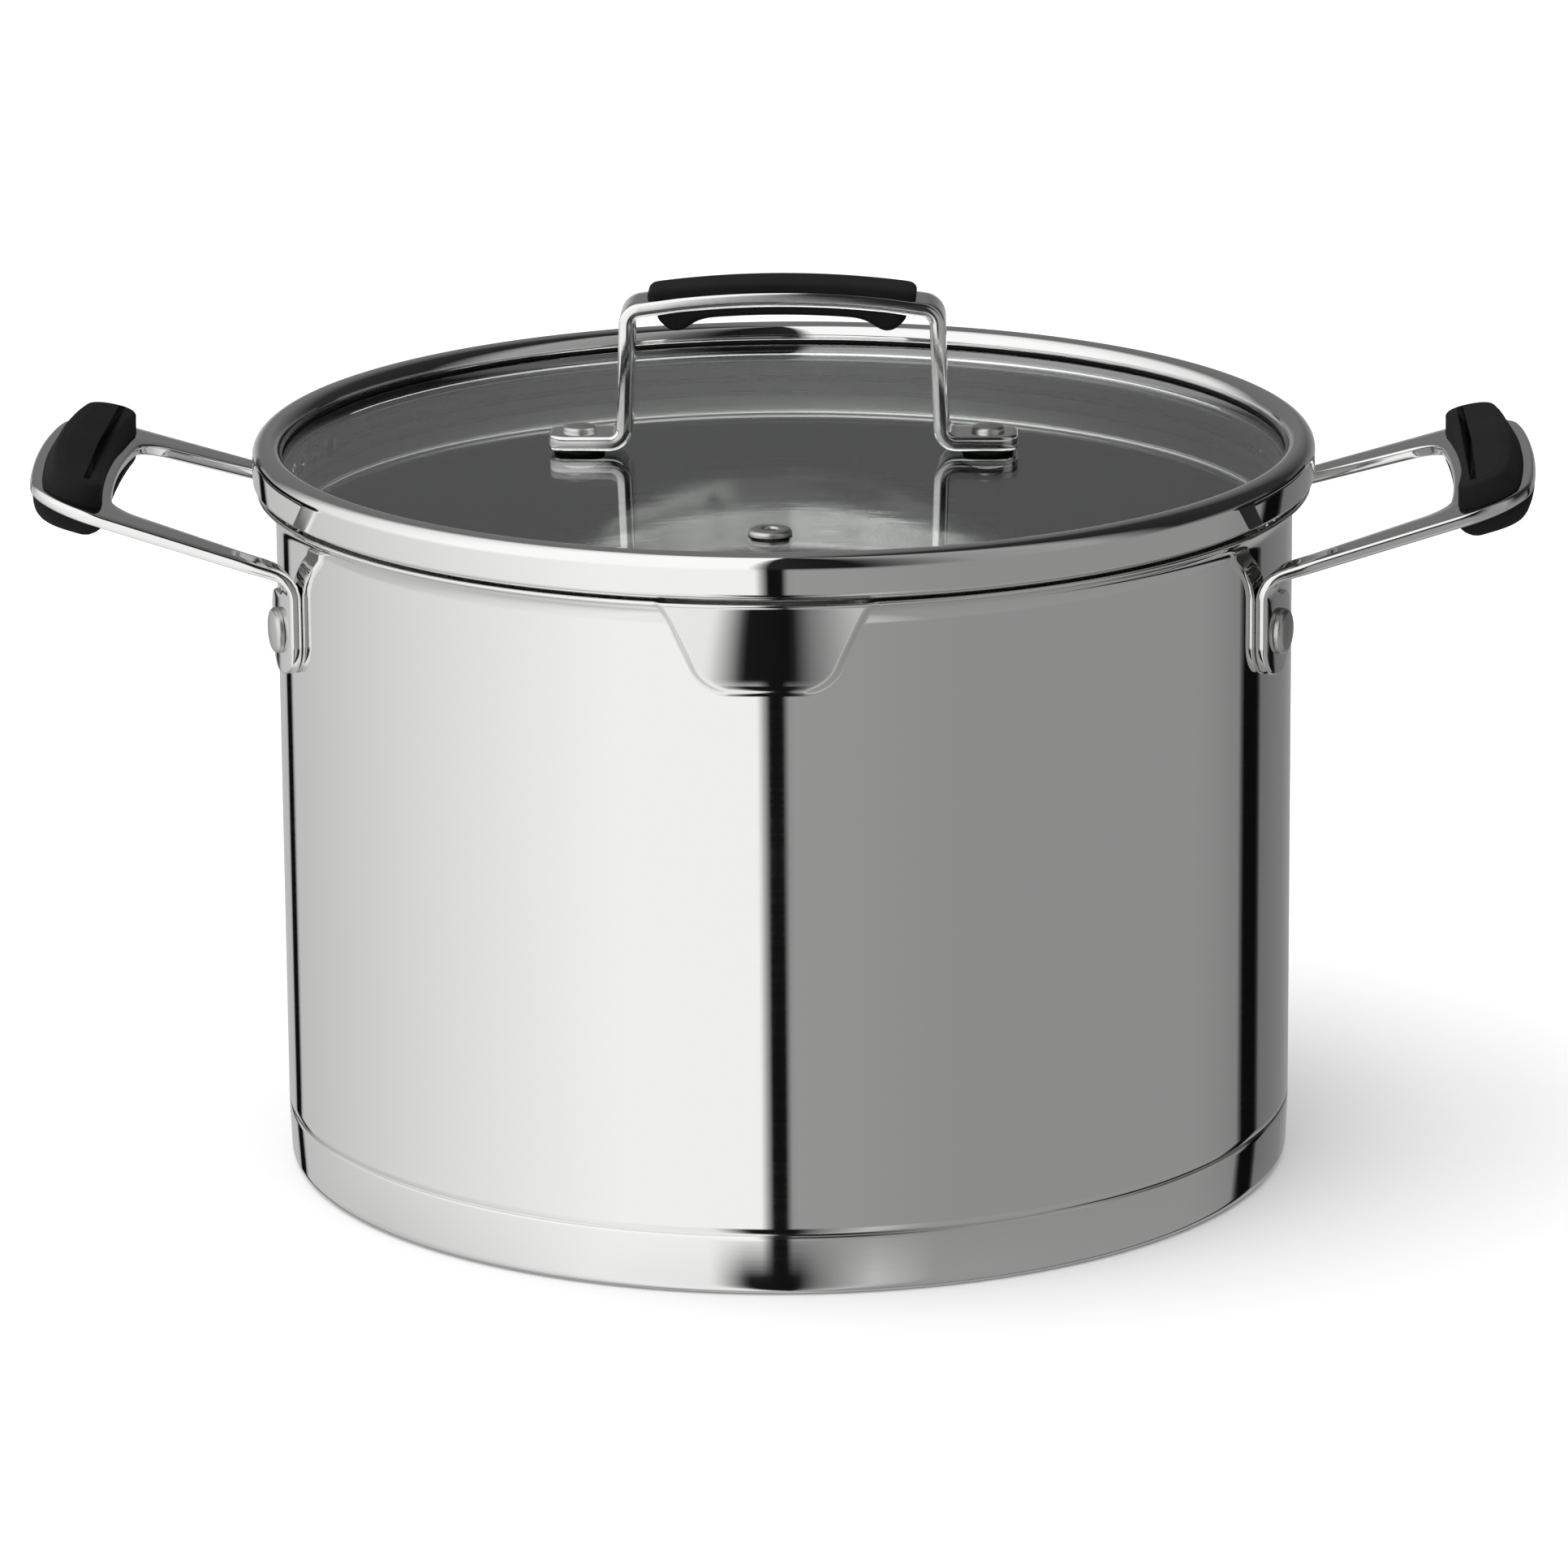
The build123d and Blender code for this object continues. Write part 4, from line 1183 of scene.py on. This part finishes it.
seatLevel = glassTop + lidStrap["footGap"] + lidStrap["thickness"]
tailLevel = nodeBottom("lid_backing_washers")
onePin = rivetMesh("lidRivet", lidRivet, seatLevel - tailLevel)
lidPins = runTree("lidRivets", onePin, facingPairTree("facingPair", rivetSteel), {
    "Across": lidRivet["across"] * mm,
    "Level": seatLevel * mm,
})
placePiece("lidRivets", lidPins, [rivetSteel], "lid", ["lid_handle_rivets"])

ventEyelet = {
    "place": 87.0,  # from the axis towards the spout
    "flange": 5.0,
    "bore": 1.8,
    "dome": 1.4,
    "sleeve": 3.2,
    "under": 4.4,
    "underThickness": 0.8,
}


def makeVentEyelet(size):
    seat = nodeTop("vent_gasket")
    low = nodeBottom("lid_glass")
    dome = [(size["bore"], seat + size["dome"] * 0.55)]
    dome += arcPoints((size["bore"] + 0.7, seat + size["dome"] - 0.7), 0.7, 180, 90, 6)
    dome += [(size["flange"] - 1.1, seat + size["dome"] * 0.96)]
    dome += arcPoints((size["flange"] - 1.0, seat + 0.35), 1.0, 80, 0, 8)
    outline = dome + [
        (size["flange"], seat), (size["sleeve"], seat), (size["sleeve"], low), (size["under"], low)
    ]
    outline += [
        (size["under"], low - size["underThickness"] * 0.6),
        (size["under"] - 0.4, low - size["underThickness"])
    ]
    outline += [(size["bore"], low - size["underThickness"])]
    verts, faces = turnedShell(outline, 64, True)
    verts = [(x, y - size["place"], z) for x, y, z in verts]
    mesh = buildMesh("ventEyelet", [(verts, faces)], sharp=45)
    return placePiece("ventEyelet", mesh, [rivetSteel], "lid", ["vent_eyelet"])


makeVentEyelet(ventEyelet)

# pieces whose plain shape is already right keep their own mesh and get a finish
kept = {
    "base_core": coreAluminium,
    "lid_glass": lidGlass,
    "rim_gasket": blackSilicone,
    "lid_foot_gaskets": blackSilicone,
    "lid_under_gaskets": blackSilicone,
    "lid_backing_washers": rivetSteel,
    "vent_gasket": blackSilicone,
}
for node, material in kept.items():
    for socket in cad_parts[node].material_slots:
        socket.link = "OBJECT"
        socket.material = material
print("lid fittings made")


# studio: pale floor, wide soft light, camera
studio = {
    "floor": "#f5f5f5",
    "overhead": 175.0,  # watts of the big soft box above
    "boxPlace": (0, 0.4, 2.6),
    "boxSize": (6.0, 6.0),
    "boxAim": (0, 0.4, 0),
    "world": 1.0,
    "riseBlend": (-0.1, 0.15),  # upward share of a direction, from the low sides to the high ones
    "sinkBlend": (-0.33, -0.42),  # and from the low sides to the ones underneath
    # strength of the surroundings by direction round the pot: 0 and 1 are behind it, 0.5 is the front
    "lowSides": [
        (0.0, 0.55), (0.066, 0.5), (0.068, 0.004), (0.084, 0.004), (0.087, 0.55), (0.2, 0.7), (0.3, 0.85),
        (0.4, 1.0), (0.489, 1.0), (0.4945, 0.006), (0.5055, 0.006), (0.508, 0.34), (0.62, 0.3), (0.8, 0.3),
        (0.853, 0.24),
        (0.857, 0.004), (0.882, 0.004), (0.886, 0.16), (0.94, 0.22), (1.0, 0.4),
    ],
    # the same further down, where a face that leans out looks
    "underSides": [
        (0.0, 0.5), (0.066, 0.4), (0.069, 0.004), (0.084, 0.004), (0.087, 0.5), (0.2, 0.6), (0.38, 0.95),
        (0.455, 0.9), (0.478, 0.01), (0.511, 0.006), (0.524, 0.2), (0.56, 0.55), (0.6, 0.33), (0.85, 0.3),
        (0.862, 0.004), (0.882, 0.004), (0.888, 0.3), (1.0, 0.4),
    ],
    # and above the horizon
    "highSides": [
        (0.0, 0.18), (0.11, 0.16), (0.17, 0.85), (0.3, 1.1), (0.485, 1.1), (0.495, 0.02), (0.55, 0.01),
        (0.62, 0.3), (0.70, 0.36), (0.76, 0.02), (0.9, 0.03), (1.0, 0.18),
    ],
}


def makeFloor(look):
    mesh = bpy.data.meshes.new("studioFloor")
    reach = 15.0
    corners = [(-reach, -reach, 0), (reach, -reach, 0), (reach, reach, 0), (-reach, reach, 0)]
    mesh.from_pydata(corners, [], [(0, 1, 2, 3)])
    floor = bpy.data.objects.new("studioFloor", mesh)
    bpy.context.scene.collection.objects.link(floor)
    material, tree = newMaterial("studioPaper")
    surfaceOutput(tree, addNode(tree, "ShaderNodeBsdfPrincipled", {
        "Base Color": srgb(look["floor"]),
        "Roughness": 0.9,
        "Specular IOR Level": 0.1,
    }))
    mesh.materials.append(material)
    floor.visible_glossy = False  # the steel shows the studio's walls, not the table


def makeSurroundings(look):
    world = bpy.data.worlds.new("studioWalls")
    bpy.context.scene.world = world
    world.use_nodes = True
    tree = world.node_tree
    tree.nodes.clear()
    where = addNode(tree, "ShaderNodeTexCoord")
    apart = addNode(tree, "ShaderNodeSeparateXYZ", links={0: where.outputs["Generated"]})
    toFront = addNode(tree, "ShaderNodeMath", {1: -1.0}, {0: apart.outputs[1]}, operation="MULTIPLY")
    around = addNode(
        tree, "ShaderNodeMath", links={0: apart.outputs[0], 1: toFront.outputs[0]}, operation="ARCTAN2"
    )
    share = addNode(
        tree, "ShaderNodeMapRange", {"From Min": -math.pi, "From Max": math.pi},
        {"Value": around.outputs[0]}
    )
    def sides(stops):
        ramp = addNode(tree, "ShaderNodeValToRGB", links={"Fac": share.outputs[0]})
        setRamp(ramp, stops)
        return ramp
    def blend(ends):
        start, end = ends
        return addNode(
            tree, "ShaderNodeMapRange", {"From Min": start, "From Max": end}, {"Value": apart.outputs[2]}
        )
    low, high, under = sides(look["lowSides"]), sides(look["highSides"]), sides(look["underSides"])
    rise, sink = blend(look["riseBlend"]), blend(look["sinkBlend"])
    lower = addNode(
        tree, "ShaderNodeMix", links={0: sink.outputs[0], 6: low.outputs[0], 7: under.outputs[0]},
        data_type="RGBA"
    )
    mixed = addNode(
        tree, "ShaderNodeMix", links={0: rise.outputs[0], 6: lower.outputs[2], 7: high.outputs[0]},
        data_type="RGBA"
    )
    seen = addNode(tree, "ShaderNodeBackground", {"Color": (1, 1, 1, 1), "Strength": 1.0})
    lit = addNode(tree, "ShaderNodeBackground", {"Strength": look["world"]}, {"Color": mixed.outputs[2]})
    ray = addNode(tree, "ShaderNodeLightPath")
    chosen = addNode(
        tree, "ShaderNodeMixShader",
        links={0: ray.outputs["Is Camera Ray"], 1: lit.outputs[0], 2: seen.outputs[0]}
    )
    addNode(tree, "ShaderNodeOutputWorld", links={"Surface": chosen.outputs[0]})


def makeSoftBox(look):
    light = bpy.data.lights.new("overheadBox", "AREA")
    light.shape = "RECTANGLE"
    light.size, light.size_y = look["boxSize"]
    light.energy = look["overhead"]
    box = bpy.data.objects.new("overheadBox", light)
    bpy.context.scene.collection.objects.link(box)
    box.location = look["boxPlace"]
    downwards = Vector(look["boxAim"]) - Vector(look["boxPlace"])
    box.rotation_euler = downwards.to_track_quat("-Z", "Y").to_euler()
    box.visible_glossy = False


studioCamera = {
    "lens": 196.6,
    "distance": 1.971,  # metres in front of the pot's axis
    "offset": 0.0172,
    "height": 0.6254,
    "turn": math.radians(1.6),  # round the pot
    "yaw": -0.009,
    "pitch": 0.266,  # looking down
    "roll": -0.008,
}


def makeCamera(size):
    yaw, pitch, roll = size["yaw"], size["pitch"], size["roll"]
    data = bpy.data.cameras.new("studioCamera")
    data.sensor_width = 36.0
    data.lens = size["lens"]
    data.clip_end = 100
    camera = bpy.data.objects.new("studioCamera", data)
    bpy.context.scene.collection.objects.link(camera)
    ahead = Vector((math.sin(yaw) * math.cos(pitch), math.cos(yaw) * math.cos(pitch), -math.sin(pitch)))
    right = Vector((math.cos(yaw), -math.sin(yaw), 0))
    up = right.cross(ahead)
    tiltedRight = right * math.cos(roll) + up * math.sin(roll)
    tiltedUp = up * math.cos(roll) - right * math.sin(roll)
    basis = Matrix((tiltedRight, tiltedUp, -ahead)).transposed().to_4x4()
    basis.translation = Vector((size["offset"], -size["distance"], size["height"]))
    camera.matrix_world = Matrix.Rotation(size["turn"], 4, "Z") @ basis
    bpy.context.scene.camera = camera


makeFloor(studio)
makeSurroundings(studio)
makeSoftBox(studio)
makeCamera(studioCamera)
bpy.context.scene.view_settings.view_transform = "Standard"
bpy.context.scene.view_settings.look = "None"
print("studio made")
